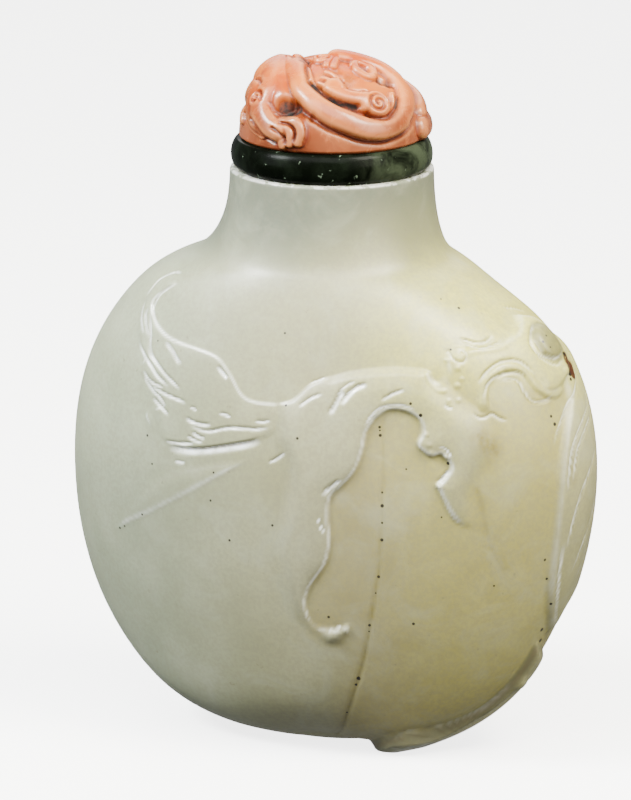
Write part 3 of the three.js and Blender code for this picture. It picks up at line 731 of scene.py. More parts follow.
def build_bottle():
    """The bottle, and the flat places and carved points of its grid, which the spots are laid on."""
    around = body_turns()
    heights = row_heights()
    turn, height = flat_grid(around, heights)
    relief = Relief(turn, height)
    carve(relief)
    carved = relief.points + relief.lift[:, None] * skin_normal(turn, height)
    carved[:, 2] = np.maximum(carved[:, 2], -FOOT_RISE)
    neck = even_turns(NECK_COLUMNS)
    inner = even_turns(CHAMBER_COLUMNS)
    shell = Shell((0, FOOT_BACK, -FOOT_RISE))
    for wide, deep, level, back in base_rings():
        shell.add(neck, oval(neck, wide, deep, level, back))
    first_carved = shell.count
    for row in carved.reshape(len(heights), len(around), 3):
        shell.add(around, row)
    for wide, deep, level in neck_rings():
        ring = skin(neck, level) if wide is None else oval(neck, wide, deep, level)
        shell.add(neck, ring)
    for wide, deep, level in inner_rings():
        shell.add(inner, oval(inner, wide, deep, level))
    points, faces = shell.finish((0, 0, CHAMBER_FLOOR))
    on_carving = slice(first_carved, first_carved + len(turn))
    marks = np.zeros((len(points), 4))
    marks[on_carving] = body_marks(relief)
    polish, thin = np.zeros((2, len(points)))
    polish[on_carving] = relief.polish
    thin[on_carving] = relief.thin
    made = make_object("jade_bottle", points, faces, marks=marks, polish=polish, thin=thin)
    return made, (relief.flat, carved)


# ---- Marks that the jade's colour follows ----
# Veins and stains: strength, half width and line.
VEINS = [
    (0.4, 0.2, [(24.2, 35.6), (23.8, 30), (23.4, 25.7), (22.9, 20), (21.8, 15.5)]),
    (0.6, 0.28, [(22.2, 17), (21.4, 13), (20.6, 10), (18.6, 5.6), (17.6, 2.2)]),
    (0.6, 0.3, [(46, 29), (47.6, 26.2), (49.4, 23.8), (51.4, 22), (54.5, 20.6)]),
    (0.25, 0.9, [(48.5, 25), (51, 22.8), (53.5, 21.2)]),
    (0.9, 1, [(47.6, 34), (50, 33.3), (51, 32.4)]),
    (0.3, 0.8, [(66, 37.6), (70, 37), (75, 37.2)]),
    (0.35, 0.6, [(77, 30.6), (78, 28.8)]),
]


def body_marks(relief):
    """What is raised or a pale rim, the rim partly a painted highlight, what is warm ground, and what
    is a brown vein, at each vertex.
    """
    marks = np.zeros((len(relief.turn), 4))
    front = smooth((relief.turn + 12) / 14)
    marks[:, 0] = np.clip(0.5 * smooth(relief.lift / 0.4) * front + 0.5 * relief.rim, 0, 1)
    bare = 1 - smooth((relief.lift - 0.05) / 0.25)
    # The warm ground starts nearer the front high up than low down, and ends round the right side.
    upper = smooth((relief.turn - 2) / 8)
    lower = smooth((relief.turn - 8) / 16)
    share = smooth((relief.height - 11) / 4)
    right = (share * upper + (1 - share) * lower) * smooth((132 - relief.turn) / 30)
    marks[:, 1] = bare * right * smooth((42 - relief.height) / 8)
    for strength, width, line in VEINS:
        path = smooth_line(line)
        found = relief.near(path, 3 * width)
        gap, _ = relief.gap_to(path, found)
        raise_to(marks[:, 2], found, strength * bell(gap / width))
    marks[:, 3] = 1
    return marks


# ---- The collar ----
COLLAR_HEIGHT = 3.0
COLLAR_EDGE = 9.35
COLLAR_BULGE = 10.22
COLLAR_LOWER = 0.2
COLLAR_UPPER = 0.6
COLLAR_FLAT = 5.0
COLLAR_COLUMNS = 180
COLLAR_STEPS = 26


def build_collar():
    """A flat disc with a rounded edge that isn't cut quite evenly."""
    turns = np.arange(COLLAR_COLUMNS) * 360 / COLLAR_COLUMNS
    bottom, top = BODY_HEIGHT, BODY_HEIGHT + COLLAR_HEIGHT
    edge = bezier_chain(
        [((COLLAR_EDGE, 0, bottom), (COLLAR_BULGE, 0, bottom + COLLAR_LOWER),
          (COLLAR_BULGE, 0, top - COLLAR_UPPER), (COLLAR_EDGE, 0, top))], (COLLAR_STEPS,))
    shell = Shell((0, 0, bottom))
    angle = np.radians(turns)
    shell.add(turns, oval(turns, COLLAR_FLAT, COLLAR_FLAT, bottom))
    for radius, _, level in edge:
        away = 0.03 * np.sin(3 * angle + 0.7 * level) + 0.02 * np.sin(7 * angle - level)
        shell.add(turns, oval(turns, radius + away, radius + away, level))
    shell.add(turns, oval(turns, COLLAR_FLAT, COLLAR_FLAT, top))
    points, faces = shell.finish((0, 0, top))
    return make_object("green_collar", points, faces)


# ---- The cap ----
CAP_BASE = BODY_HEIGHT + COLLAR_HEIGHT
CAP_RADIUS = 9.2
CAP_RISE = 7.8
CAP_SEAT = 8.95
CAP_SKIRT = 0.3
CAP_MIDDLE = CAP_BASE + CAP_SKIRT
CAP_FULLNESS = 0.72
CAP_COLUMNS = 420
CAP_ROWS = 150

# Bodies of the dragon: half width at each end, how far they are raised, and a line of (turn, rise).
DRAGON = [
    (1.3, 1.1, 0, [(-58, 65), (-18, 57), (-4, 46), (8, 37), (25, 25), (46, 15), (69, 18), (89, 34),
        (97, 54), (88, 72), (60, 84)]),
    (1.8, 1.2, 0, [(-75, 55), (-49, 51), (-37, 41), (-34, 27), (-24, 17), (-14, 13)]),
    (2.6, 1.4, -0.7, [(-72, 52), (-50, 52), (-35, 47), (-24, 40), (-17, 34)]),
    (2, 1.2, -0.55, [(-54, 42), (-44, 29), (-35, 19), (-26, 14)]),
    (0.9, 1.2, 0.1, [(21, 46), (30, 40), (37, 37), (46, 35)]),
    (1, 0.9, 0, [(101, 18), (118, 24), (140, 30), (165, 42), (190, 50)]),
    (1.2, 0.9, 0, [(95, 8), (120, 8), (140, 14), (158, 26)]),
    (1.1, 0.8, 0, [(-75, 48), (-84, 30), (-100, 16), (-122, 10)]),
    (1.1, 0.8, 0, [(-170, 52), (-150, 40), (-125, 34), (-105, 44), (-85, 58)]),
    (0.9, 0.9, 0.15, [(23, 49), (28, 47)]),
    (0.34, 0.3, 0.4, [(24, 46), (16, 48), (8, 50.5)]),
    (0.34, 0.3, 0.4, [(25, 50), (18, 53.5), (11, 55)]),
    (0.34, 0.32, 0.4, [(28, 53.5), (22, 58), (14, 60.5)]),
    (0.64, 0.54, 0.15, [(-21, 14), (-14, 10.5), (-10.4, 7), (-9, 3.5)]),
    (0.6, 0.52, 0.25, [(-16, 17), (-8.5, 15.5), (-4.6, 12), (-4, 5)]),
    (0.6, 0.52, 0.25, [(-12, 20.5), (-4, 21), (1, 17.5), (2.4, 12), (1, 6)]),
    (0.46, 0.46, 0.2, [(58, 68), (72, 70), (80, 63), (72, 55), (62, 55), (56, 62), (60, 68)]),
    (0.5, 0.5, 0.1, [(-53, 23), (-56, 18), (-53, 13)]),
    (0.8, 0.7, 0, [(60, 84), (90, 80), (107, 72)]),
    (0.45, 0.4, 0.2, [(12, 69), (24, 81)]),
    (0.45, 0.4, 0.2, [(24, 68), (40, 80)]),
    (0.5, 0.4, 0.1, [(74, 36), (72, 30), (64, 25), (56, 23)]),
]
# Round discs with a spiral cut into them: turn, rise, radius, lift, reach of the spiral, its turns.
CURLS = [
    (-38, 31, 1.2, 1.15, 0.75, 1.3), (55, 32, 1.5, 0.95, 1.05, 1.6), (-8, 78, 1, 0.6, 0.6, 1.3),
    (-150, 20, 1.9, 0.9, 1.4, 1.6),
]
# The cut of the spirals: depth and half width. A spiral shrinks by this share of its reach.
CURL_CUT = (0.42, 0.17)
CURL_SHRINK = 0.85
CURL_POINTS = 36
# The roundness of the bodies' sides, and the width over which a raised body comes up.
SWELL_POWER = 2.4
SWELL_EDGE = 0.25
# How dark the grooves and pits are for their depth, and the share of a groove that it fades over.
GROOVE_DARKNESS = 1.5
GROOVE_TAPER = 0.1
PIT_DARKNESS = 1.8
# Cuts in the coral: depth, half width, line.
CAP_GROOVES = [
    (0.7, 0.36, [(-1, 52), (4, 48.5), (12, 43.5), (19, 39), (27, 35), (35, 32), (43, 29.5)]),
    (0.4, 0.22, [(-24, 69), (-9, 60), (-1, 52), (3, 48)]),
    (0.35, 0.24, [(43, 28), (50, 23), (58, 21), (66, 25), (73, 31), (77, 38)]),
    (0.3, 0.26, [(-14, 38), (-6, 34), (2, 28), (10, 23), (19, 17), (28, 13), (40, 8), (54, 5.5), (66, 7),
        (78, 11), (90, 19), (103, 28)]),
    (0.3, 0.2, [(97, 28), (85, 20), (75, 14)]),
    (0.28, 0.2, [(33, 57), (33, 49), (37, 45), (45, 43), (54, 43)]),
    (0.3, 0.2, [(-39, 18), (-29, 13), (-21, 7), (-13, 4)]),
    (0.32, 0.14, [(-17, 15), (-11.2, 12), (-7.4, 8), (-6.4, 4)]),
    (0.32, 0.14, [(-13, 18.6), (-6, 18.2), (-2, 15), (-0.9, 11), (-1.6, 6)]),
    (0.3, 0.18, [(66, 66), (70, 62), (67, 58)]),
    (0.25, 0.2, [(-86, 60), (-64, 66), (-40, 66)]),
    (0.25, 0.18, [(-60, 40), (-52, 42), (-40, 40)]),
]
# Hollows in the coral: turn, rise, radius, depth.
CAP_PITS = [
    (-12, 29, 1.05, 0.75), (-5, 30, 0.75, 0.5), (2, 27, 0.5, 0.25), (9, 24, 0.4, 0.2), (75, 50, 0.55, 0.4),
    (81, 46, 0.5, 0.35), (42, 57, 0.7, 0.22), (38, 52, 0.6, 0.18), (-45, 72, 0.6, 0.4),
    (-28, 69, 0.5, 0.35), (30, 62, 0.5, 0.2), (100, 40, 0.5, 0.25),
]
# The coral is lighter where it stands out from the cells round it: this many up, and this many round.
CREST_REACH = (5, 4)
CREST_SHARPNESS = 4.0
# Where it lies deeper than they do it is redder: how strongly, how quickly, and from what depth.
CREASE_STRENGTH = 0.8
CREASE_SHARPNESS = 7.0
CREASE_START = 0.25


def on_cap(turn, rise, lift=0.0):
    turn, rise = np.radians(turn), np.radians(rise)
    reach = (CAP_RADIUS + lift) * np.cos(rise)
    level = CAP_MIDDLE + (CAP_RISE + lift) * np.sin(rise)
    return np.stack([reach * np.sin(turn), -reach * np.cos(turn), level], -1)


def cap_line(line, per_span=8):
    """A smooth line in space through places on the cap."""
    knots = np.array([on_cap(*place) for place in line])
    return smooth_line(knots, per_span)


def curl_line(turn, rise, reach, winds):
    """A flat spiral on the cap that winds inwards."""
    middle = on_cap(turn, rise)
    east = unit(on_cap(turn + 2, rise) - on_cap(turn - 2, rise))
    north = unit(on_cap(turn, rise + 2) - on_cap(turn, rise - 2))
    share = np.linspace(0, 1, CURL_POINTS)[:, None]
    angle = 2 * math.pi * winds * share
    out = reach * (1 - CURL_SHRINK * share)
    return middle + out * (east * np.cos(angle) + north * np.sin(angle))


def swell(points, line, start, end, raised):
    """How far a full-sided body of changing half width along a line stands above points."""
    gap, along = nearest(points, line)
    radius = start + (end - start) * along
    share = np.clip(gap / radius, 0, 1)
    rounded = radius * (1 - share**SWELL_POWER) ** 0.5
    return rounded + raised * smooth((1 - share) * radius / SWELL_EDGE)


def soften(grid, reach_up, reach_round):
    """A grid of values averaged over a box, going round the cap without a break."""
    wide = np.concatenate([grid[:, -reach_round:], grid, grid[:, :reach_round]], 1)
    total = np.cumsum(np.pad(wide, ((0, 0), (1, 0))), 1)
    across = (total[:, 2 * reach_round + 1:] - total[:, :-2 * reach_round - 1]) / (2 * reach_round + 1)
    tall = np.pad(across, ((reach_up + 1, reach_up), (0, 0)), mode="edge")
    total = np.cumsum(tall, 0)
    return (total[2 * reach_up + 1:] - total[:-2 * reach_up - 1]) / (2 * reach_up + 1)


def raise_dragon(points):
    """How far the dragon's bodies and the spiral discs stand above the dome."""
    lift = np.zeros(len(points))
    for start, end, raised, line in DRAGON:
        lift = np.maximum(lift, CAP_FULLNESS * swell(points, cap_line(line), start, end, raised))
    depth, width = CURL_CUT
    for turn, rise, radius, height, reach, winds in CURLS:
        gap = distances(points, on_cap(turn, rise))
        lift = np.maximum(lift, height * np.sqrt(1 - np.clip(gap / radius, 0, 1) ** 3))
        gap, _ = nearest(points, curl_line(turn, rise, reach, winds))
        lift -= depth * bell(gap / width)
    return lift


def hollow_cap(points):
    """How deep the grooves and pits are, and how much darker they are painted."""
    depths, dark = np.zeros((2, len(points)))
    for depth, width, line in CAP_GROOVES:
        gap, along = nearest(points, cap_line(line))
        crease = bell(gap / width) * fade_ends(along, GROOVE_TAPER)
        depths += depth * crease
        dark = np.maximum(dark, min(1, GROOVE_DARKNESS * depth) * crease)
    for turn, rise, radius, depth in CAP_PITS:
        gap = distances(points, on_cap(turn, rise))
        hollow = np.exp(-((gap / radius) ** 3))
        depths += depth * hollow
        dark = np.maximum(dark, min(1, PIT_DARKNESS * depth) * hollow)
    return depths, dark


def build_cap():
    """The dome with its dragon, and marks for what stands out, what lies deep, and what is dark."""
    turns = np.arange(CAP_COLUMNS) * 360 / CAP_COLUMNS
    rises = np.linspace(0, 90, CAP_ROWS + 1)[:-1]
    turn, rise = flat_grid(turns, rises)
    dome = on_cap(turn, rise)
    depths, dark = hollow_cap(dome)
    lift = raise_dragon(dome) - depths
    grid = lift.reshape(len(rises), len(turns))
    stands_out = (grid - soften(grid, *CREST_REACH)).ravel()
    shell = Shell((0, 0, CAP_BASE))
    shell.add(turns, oval(turns, CAP_SEAT - 0.6, CAP_SEAT - 0.6, CAP_BASE))
    shell.add(turns, oval(turns, CAP_SEAT, CAP_SEAT, CAP_BASE + 0.02))
    on_dome = slice(shell.count, shell.count + len(lift))
    for row in on_cap(turn, rise, lift).reshape(len(rises), len(turns), 3):
        shell.add(turns, row)
    points, faces = shell.finish((0, 0, CAP_MIDDLE + CAP_RISE))
    marks = np.zeros((len(points), 4))
    marks[on_dome, 0] = smooth(0.5 + CREST_SHARPNESS * stands_out)
    marks[on_dome, 1] = CREASE_STRENGTH * smooth(-CREASE_SHARPNESS * stands_out - CREASE_START)
    marks[on_dome, 2] = dark
    marks[:, 3] = 1
    return make_object("coral_cap", points, faces, marks=marks)


# ---- Materials ----
class Nodes:
    """A short way to lay out the nodes of one material."""

    def __init__(self, name):
        self.material = bpy.data.materials.new(name)
        self.material.use_nodes = True
        self.tree = self.material.node_tree
        self.tree.nodes.clear()
        self.coords = self.add("TexCoord").outputs["Object"]

    def add(self, kind, sockets=None, **settings):
        """A new node, with a value or a link for each of the given sockets."""
        node = self.tree.nodes.new("ShaderNode" + kind)
        for key, value in settings.items():
            setattr(node, key, value)
        for key, value in (sockets or {}).items():
            if isinstance(value, bpy.types.NodeSocket):
                self.tree.links.new(value, node.inputs[key])
            else:
                node.inputs[key].default_value = value
        return node

    def place(self):
        """The outputs X, Y and Z of a place in the object's own frame, in metres."""
        return self.add("SeparateXYZ", {0: self.coords}).outputs

    def painted(self, layer, output="Fac"):
        return self.add("Attribute", attribute_name=layer).outputs[output]

    def marks(self):
        return self.add("SeparateColor", {0: self.painted("marks", "Color")}).outputs

    def noise(self, scale, detail=3.0, roughness=0.5, distortion=0.0):
        sockets = {"Scale": scale, "Detail": detail, "Roughness": roughness, "Distortion": distortion}
        return self.add("TexNoise", {"Vector": self.coords, **sockets}).outputs["Fac"]

    def ramp(self, value, low, high, out_low=0.0, out_high=1.0):
        limits = {"From Min": low, "From Max": high, "To Min": out_low, "To Max": out_high}
        node = self.add("MapRange", {"Value": value, **limits}, interpolation_type="SMOOTHSTEP")
        return node.outputs["Result"]

    def math(self, operation, a, b=0.0):
        return self.add("Math", {0: a, 1: b}, operation=operation).outputs[0]

    def times(self, a, b):
        return self.math("MULTIPLY", a, b)

    def mix(self, share, a, b):
        return self.add("Mix", {"Factor": share, "A": a, "B": b}, data_type="RGBA").outputs["Result"]

    def patchy(self, noise, low, high, first, second):
        """A mottle of two colours that follows a noise."""
        return self.mix(self.ramp(noise, low, high), srgb(*first), srgb(*second))

    def stain(self, colour, *layers):
        """A colour with others laid over it in turn, each as a mask, a strength and a colour."""
        for mask, strength, tint in layers:
            share = mask if strength is None else self.times(mask, strength)
            colour = self.mix(share, colour, srgb(*tint) if isinstance(tint, tuple) else tint)
        return colour

    def bump(self, height, strength, distance):
        sockets = {"Height": height, "Strength": strength, "Distance": distance}
        return self.add("Bump", sockets).outputs["Normal"]

    def finish(self, colour, roughness, **settings):
        sockets = {key.replace("_", " "): value for key, value in settings.items()}
        shader = self.add("BsdfPrincipled", {"Base Color": colour, "Roughness": roughness, **sockets})
        self.add("OutputMaterial", {0: shader.outputs[0]})
        return self.material


def srgb(*levels):
    """A linear colour from the usual red, green and blue of 0 to 255."""
    linear = [c / 255 / 12.92 if c <= 10.3 else ((c / 255 + 0.055) / 1.055) ** 2.4 for c in levels]
    return (*linear, 1.0)


# How far the jade's colours are deepened, and how much further they are darkened as painted
# shade over the lower body.
JADE_DEPTH = 0.44
JADE_SHADE_LOW = 0.12
# Dark pinholes in the jade: turn, height, radius.
PINHOLES = [
    (23.7, 34.9, 0.15), (23.6, 34.2, 0.17), (23.7, 34.6, 0.1), (23.5, 28.6, 0.12), (23.4, 27.3, 0.2),
    (23.3, 25.4, 0.12), (23.4, 23.7, 0.18), (22.9, 19.9, 0.17), (22.5, 18.2, 0.1), (21.6, 14.6, 0.16),
    (21.4, 13.9, 0.1), (20, 8.6, 0.24), (19.7, 8, 0.16), (18, 4.4, 0.12), (33.4, 36.3, 0.2),
    (31.6, 37.4, 0.15), (5.5, 33.5, 0.15), (-0.6, 24.5, 0.14), (38.8, 31.6, 0.2), (11.8, 15.2, 0.15),
    (31.8, 15, 0.16), (80.1, 41.6, 0.15), (83, 41.9, 0.12), (81.5, 41, 0.1), (73.3, 34.5, 0.2),
    (72.4, 35.3, 0.16), (88.6, 38.4, 0.3), (87.6, 38, 0.2), (89.9, 40.1, 0.24), (2.7, 36.5, 0.14),
    (46.7, 42.3, 0.12), (60.3, 45.7, 0.16), (56, 46.6, 0.1), (69, 20.8, 0.16), (71, 18.8, 0.15),
    (78.4, 13, 0.24), (76, 16, 0.17), (81.5, 11.6, 0.26), (-33, 31.6, 0.14), (-31, 28.9, 0.12),
    (-36.6, 40.9, 0.1), (1, 43.4, 0.12), (-43, 21.3, 0.14), (-41, 21.8, 0.12), (-34, 23.3, 0.13),
    (-14, 29, 0.12), (-15, 26.3, 0.13), (-10.4, 22.4, 0.14), (29, 30.8, 0.1), (37, 26, 0.1),
    (52, 19, 0.11),
]
# Rust-brown spots in the jade: turn, height, radius.
RUST_SPOTS = [(90.2, 39.7, 0.8), (90.8, 39.0, 0.9), (91.0, 38.3, 0.6)]


def spots(nodes, places, surface):
    """A mask of small round spots, each on the vertex of the carved surface nearest to its place."""
    flat, carved = surface
    total = None
    for turn, height, radius in places:
        away = flat - (turn * MM_PER_DEGREE, height)
        at = (carved[np.argmin((away**2).sum(1))] + (0, 0, FOOT_RISE)) * MM
        gap = nodes.add("VectorMath", {0: nodes.coords, 1: at}, operation="DISTANCE").outputs["Value"]
        spot = nodes.ramp(gap, radius * MM * 1.15, radius * MM * 0.7)
        total = spot if total is None else nodes.math("MAXIMUM", total, spot)
    return total


def jade_ground(nodes, across, up, marks):
    """Cooler stone on the left, olive on the right, yellow on the right shoulder, partly the stone's
    tone and partly a painted highlight, warm beside the cleft, and paler where it is raised."""
    cloud = nodes.noise(90, 4, 0.6)
    patch = nodes.noise(260, 4, 0.65, distortion=0.6)
    left = nodes.patchy(cloud, 0.35, 0.68, (186, 196, 162), (203, 212, 178))
    middle = nodes.patchy(cloud, 0.35, 0.68, (194, 191, 142), (208, 206, 158))
    olive = nodes.patchy(cloud, 0.35, 0.68, (198, 193, 116), (212, 206, 130))
    yellow = nodes.patchy(patch, 0.35, 0.68, (236, 230, 112), (252, 246, 134))
    warm = nodes.patchy(patch, 0.3, 0.75, (190, 178, 116), (202, 192, 132))
    warm_right = nodes.patchy(patch, 0.3, 0.75, (208, 198, 112), (220, 211, 128))
    pale = nodes.patchy(patch, 0.3, 0.7, (208, 206, 168), (218, 216, 180))
    # Partly painted highlight: the right shoulder is turned yellow from about 33 mm up.
    shoulder_yellow_and_highlight = nodes.times(nodes.ramp(across, 0.004, 0.018), nodes.ramp(up, 0.033, 0.043))
    ground = nodes.mix(nodes.ramp(across, -0.019, 0.004), left, middle)
    ground = nodes.mix(nodes.ramp(across, 0.006, 0.02), ground, olive)
    ground = nodes.mix(shoulder_yellow_and_highlight, ground, yellow)
    warm = nodes.mix(nodes.ramp(across, 0.008, 0.018), warm, warm_right)
    pale = nodes.mix(shoulder_yellow_and_highlight, pale, srgb(255, 250, 142))
    return nodes.stain(ground, (marks[1], 0.9, warm), (marks[0], 0.7, pale))


def jade_neck(nodes, colour, across, up):
    """The neck turned darker and greyer towards its top as painted shade, less so on the right, and
    darker still to its left and right as painted shade, with a ragged white line round the lip.
    """
    # Painted shade: the neck is darkened towards grey near its top, and further at its left and right.
    right = nodes.times(nodes.math("MAXIMUM", across, 0.0), 0.5)
    level = nodes.math("SUBTRACT", up, right)
    sides = nodes.ramp(nodes.math("ABSOLUTE", across), 0.0055, 0.0105)
    sides = nodes.times(sides, nodes.ramp(up, 0.0475, 0.053))
    grain = nodes.ramp(nodes.noise(1100, 3, 0.6), 0.44, 0.52)
    return nodes.stain(
        colour,
        (nodes.ramp(level, 0.046, 0.055), 0.92, (138, 147, 126)),
        (sides, 0.6, (122, 130, 112)),
        (nodes.ramp(up, 0.0577, 0.05785), grain, (244, 244, 236)))


def jade_drifts(nodes, colour, vein):
    """Brown veins, flecks, fine speckles and drifts of paler stone."""
    smoke = nodes.noise(170, 5, 0.65, distortion=1.0)
    return nodes.stain(
        colour,
        (vein, nodes.ramp(nodes.noise(700, 3, 0.6), 0.35, 0.65, 0.45, 1.0), (154, 138, 44)),
        (nodes.ramp(nodes.noise(1500, 2, 0.5), 0.70, 0.78), 0.45, (140, 130, 100)),
        (nodes.ramp(nodes.noise(2400, 2, 0.6), 0.35, 0.65), 0.3, (166, 160, 134)),
        (nodes.ramp(smoke, 0.45, 0.75), 0.32, (222, 226, 196)))


def jade_material(surface):
    nodes = Nodes("jade")
    marks = nodes.marks()
    place = nodes.place()
    across, up = place["X"], place["Z"]
    colour = jade_ground(nodes, across, up, marks)
    colour = jade_neck(nodes, colour, across, up)
    colour = jade_drifts(nodes, colour, marks[2])
    # Painted shade: the colour is darkened further over a band low on the body, from about 4 to 36 mm up.
    below = nodes.times(nodes.ramp(up, 0.004, 0.015), nodes.ramp(up, 0.036, 0.024))
    depth = nodes.math("ADD", nodes.times(below, JADE_SHADE_LOW), JADE_DEPTH)
    thin, polish = nodes.painted("thin"), nodes.painted("polish")
    broken = nodes.ramp(nodes.noise(650, 3, 0.6), 0.34, 0.6, 0.55, 1.0)
    ragged = nodes.ramp(nodes.noise(1600, 3), 0.2, 0.42)
    colour = nodes.stain(
        colour,
        (depth, None, (0, 0, 0)),
        # Painted shade: dark where the shade layer is set, at the foot of cut walls, along the leaf's edge
        # and on the boss.
        (thin, 0.8, (78, 76, 54)),
        (nodes.ramp(thin, 0.95, 1.2), None, (94, 86, 60)),
        # Painted highlight: near white on cut floors and rims; the same layer lowers the roughness.
        (polish, broken, (252, 255, 250)),
        (spots(nodes, RUST_SPOTS, surface), ragged, (66, 30, 2)),
        (spots(nodes, PINHOLES, surface), None, (30, 24, 16)))
    worn = nodes.ramp(nodes.noise(160, 3, 0.6), 0.3, 0.7, 0.34, 0.44)
    roughness = nodes.math("SUBTRACT", worn, nodes.times(polish, 0.22))
    micro = nodes.math("ADD", nodes.times(nodes.noise(2600, 2, 0.5), 0.35), nodes.noise(420, 3, 0.6))
    return nodes.finish(
        colour, roughness, Normal=nodes.bump(micro, 0.35, 0.00005), IOR=1.6, Subsurface_Weight=0.25,
        Subsurface_Radius=(1.0, 0.85, 0.6), Subsurface_Scale=0.0008)


def coral_material():
    """Red-brown coral, more orange towards the top and darker and browner towards its foot, partly its
    tone and partly painted shade, lighter on its crests and darker in its grooves and pits.
    """
    nodes = Nodes("coral")
    marks = nodes.marks()
    crest, crease, dark = marks[0], marks[1], marks[2]
    streak = nodes.noise(420, 4, 0.6, distortion=0.8)
    cloud = nodes.noise(190, 3, 0.55)
    # Partly painted shade: these lower colours, which the cap takes towards its foot, are darker.
    low = nodes.patchy(cloud, 0.32, 0.66, (104, 48, 24), (134, 72, 42))
    high = nodes.patchy(cloud, 0.32, 0.66, (160, 64, 8), (190, 102, 34))
    deep = nodes.ramp(dark, 0.45, 0.8)
    specks = nodes.ramp(nodes.noise(1500, 2, 0.6), 0.58, 0.66)
    # Near-black blotches in the deepest grooves and pits.
    deep_blotches = nodes.ramp(nodes.noise(900, 3, 0.7), 0.4, 0.54)
    colour = nodes.stain(
        nodes.mix(nodes.ramp(nodes.place()["Z"], 0.0620, 0.0685), low, high),
        (nodes.ramp(streak, 0.45, 0.7), 0.35, (190, 110, 58)),
        (nodes.ramp(crest, 0.5, 1.0), 0.32, (220, 146, 88)),
        (crease, None, (110, 36, 6)),
        (dark, 0.9, (56, 16, 4)),
        (crease, specks, (30, 18, 12)),
        (deep, deep_blotches, (26, 16, 12)),
        (nodes.ramp(nodes.noise(1300, 2), 0.70, 0.76), 0.5, (120, 60, 36)))
    roughness = nodes.math("ADD", nodes.ramp(streak, 0.3, 0.7, 0.2, 0.3), nodes.times(deep, 0.5))
    roughness = nodes.math("ADD", roughness, nodes.times(crease, 0.35))
    return nodes.finish(
        colour, roughness, Normal=nodes.bump(nodes.noise(700, 3, 0.6), 0.3, 0.00004), IOR=1.45,
        Subsurface_Weight=0.15, Subsurface_Radius=(1.0, 0.5, 0.35), Subsurface_Scale=0.0008)


def collar_material():
    nodes = Nodes("dark_green_jade")
    cloud = nodes.noise(330, 4, 0.65, distortion=0.5)
    # Painted reflection: a grey-green patch in the mottle on the right of the collar.
    pale = nodes.times(nodes.ramp(nodes.place()["X"], 0.0055, 0.009), nodes.ramp(cloud, 0.3, 0.6))
    colour = nodes.stain(
        nodes.patchy(cloud, 0.4, 0.7, (4, 6, 3), (13, 18, 11)),
        (nodes.ramp(nodes.noise(1500, 2), 0.68, 0.74), 0.6, (96, 110, 92)),
        (pale, 0.8, (58, 66, 50)))
    roughness = nodes.ramp(nodes.noise(500, 3), 0.35, 0.7, 0.2, 0.34)
    return nodes.finish(
        colour, roughness, Normal=nodes.bump(nodes.noise(600, 3, 0.6), 0.25, 0.00003), IOR=1.11)


def floor_material():
    nodes = Nodes("pale_floor")
    colour = nodes.patchy(nodes.noise(3, 2, 0.5), 0.3, 0.7, (238, 238, 236), (242, 242, 240))
    return nodes.finish(colour, 0.6, Emission_Color=(1, 1, 1, 1), Emission_Strength=FLOOR_GLOW)


# ---- Stage ----
FLOOR_SIZE = 8.0
FLOOR_GLOW = 3.5
VIEW = {"azimuth": 22.0, "elevation": 14.1, "distance": 0.7, "target": (-0.00208, 0.0008, 0.0337)}
LENS = 315.0
SENSOR = 36.0
CLIP = (0.05, 20)
# Lamps: size, power, azimuth, elevation, distance, colour.
LAMPS = {
    "front": ((0.4, 0.3), 3.4, 10, 52, 0.5, (1.0, 1.0, 0.97)),
    "left": ((0.3, 0.4), 1.5, -44, 27, 0.5, (0.94, 0.99, 1.0)),
    "left_key": ((0.16, 0.13), 6.5, -50, 42, 0.5, (0.96, 1.0, 1.0)),
    "right": ((0.3, 0.4), 3.2, 70, 29, 0.5, (1.0, 0.96, 0.83)),
    "back": ((0.6, 0.6), 3.0, 200, 40, 0.7, (1.0, 1.0, 0.98)),
    "right_key": ((0.2, 0.2), 6.0, 74, 54, 0.5, (1.0, 0.97, 0.83)),
}
LIGHT_TARGET = (0, 0, 0.04)
WORLD_COLOUR = (0.95, 0.97, 1.0, 1.0)
WORLD_STRENGTH = 0.26


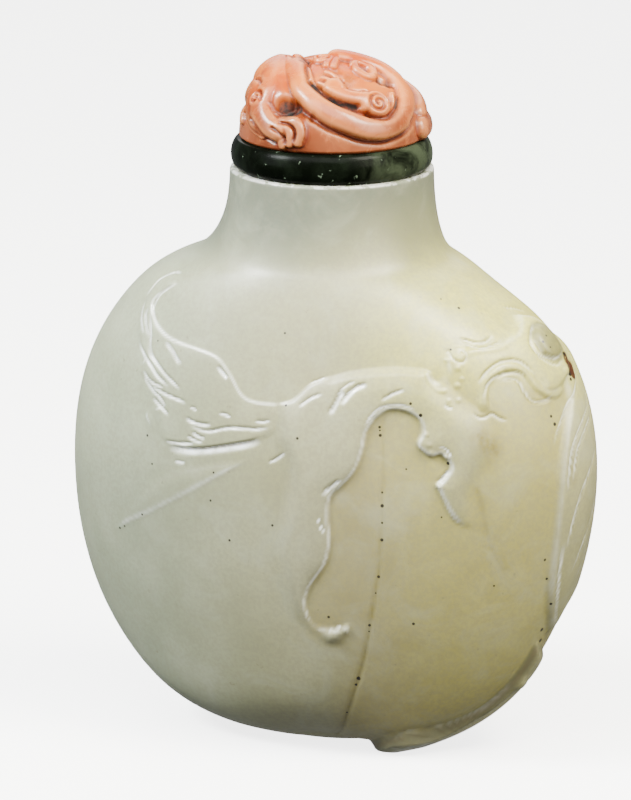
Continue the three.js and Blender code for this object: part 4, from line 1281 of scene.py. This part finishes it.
def aim(thing, target, azimuth, elevation, distance):
    """Puts a camera or lamp at a distance from its target and points it there."""
    turn, up = math.radians(azimuth), math.radians(elevation)
    away = Vector((math.sin(turn) * math.cos(up), -math.cos(turn) * math.cos(up), math.sin(up)))
    thing.location = Vector(target) + away * distance
    thing.rotation_euler = away.to_track_quat("Z", "Y").to_euler()


def add_camera():
    data = bpy.data.cameras.new("camera")
    data.lens = LENS
    data.sensor_width = SENSOR
    data.clip_start, data.clip_end = CLIP
    camera = placed("camera", data)
    aim(camera, **VIEW)
    bpy.context.scene.camera = camera


def add_lamps():
    for name, (size, power, azimuth, elevation, distance, colour) in LAMPS.items():
        data = bpy.data.lights.new(name, "AREA")
        data.shape = "RECTANGLE"
        data.size, data.size_y = size
        data.energy = power
        data.color = colour
        aim(placed(name, data), LIGHT_TARGET, azimuth, elevation, distance)


def add_world():
    world = bpy.data.worlds.new("studio")
    world.use_nodes = True
    background = world.node_tree.nodes["Background"]
    background.inputs[0].default_value = WORLD_COLOUR
    background.inputs[1].default_value = WORLD_STRENGTH
    bpy.context.scene.world = world


def add_floor():
    half = FLOOR_SIZE / 2
    mesh = bpy.data.meshes.new("floor")
    corners = [(-half, -half, 0), (half, -half, 0), (half, half, 0), (-half, half, 0)]
    mesh.from_pydata(corners, [], [(0, 1, 2, 3)])
    mesh.materials.append(floor_material())
    floor = placed("floor", mesh)
    floor.visible_diffuse = False
    floor.visible_glossy = False


def dress(piece, node, material):
    """A piece of the scene takes the place of a CAD node and its finish."""
    piece.data.materials.append(material)
    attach(piece, "root")
    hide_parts(node)


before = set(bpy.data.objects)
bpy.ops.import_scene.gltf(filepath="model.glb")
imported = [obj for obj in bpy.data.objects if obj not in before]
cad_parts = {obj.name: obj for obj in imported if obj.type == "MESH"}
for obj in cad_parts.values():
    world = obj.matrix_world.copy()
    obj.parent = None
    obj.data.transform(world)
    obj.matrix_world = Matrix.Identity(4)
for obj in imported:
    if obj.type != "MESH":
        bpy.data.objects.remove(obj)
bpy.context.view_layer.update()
bottle, carved_surface = build_bottle()
dress(bottle, "bottle", jade_material(carved_surface))
dress(build_collar(), "stopper_collar", collar_material())
dress(build_cap(), "stopper_cap", coral_material())
add_floor()
add_lamps()
add_world()
add_camera()
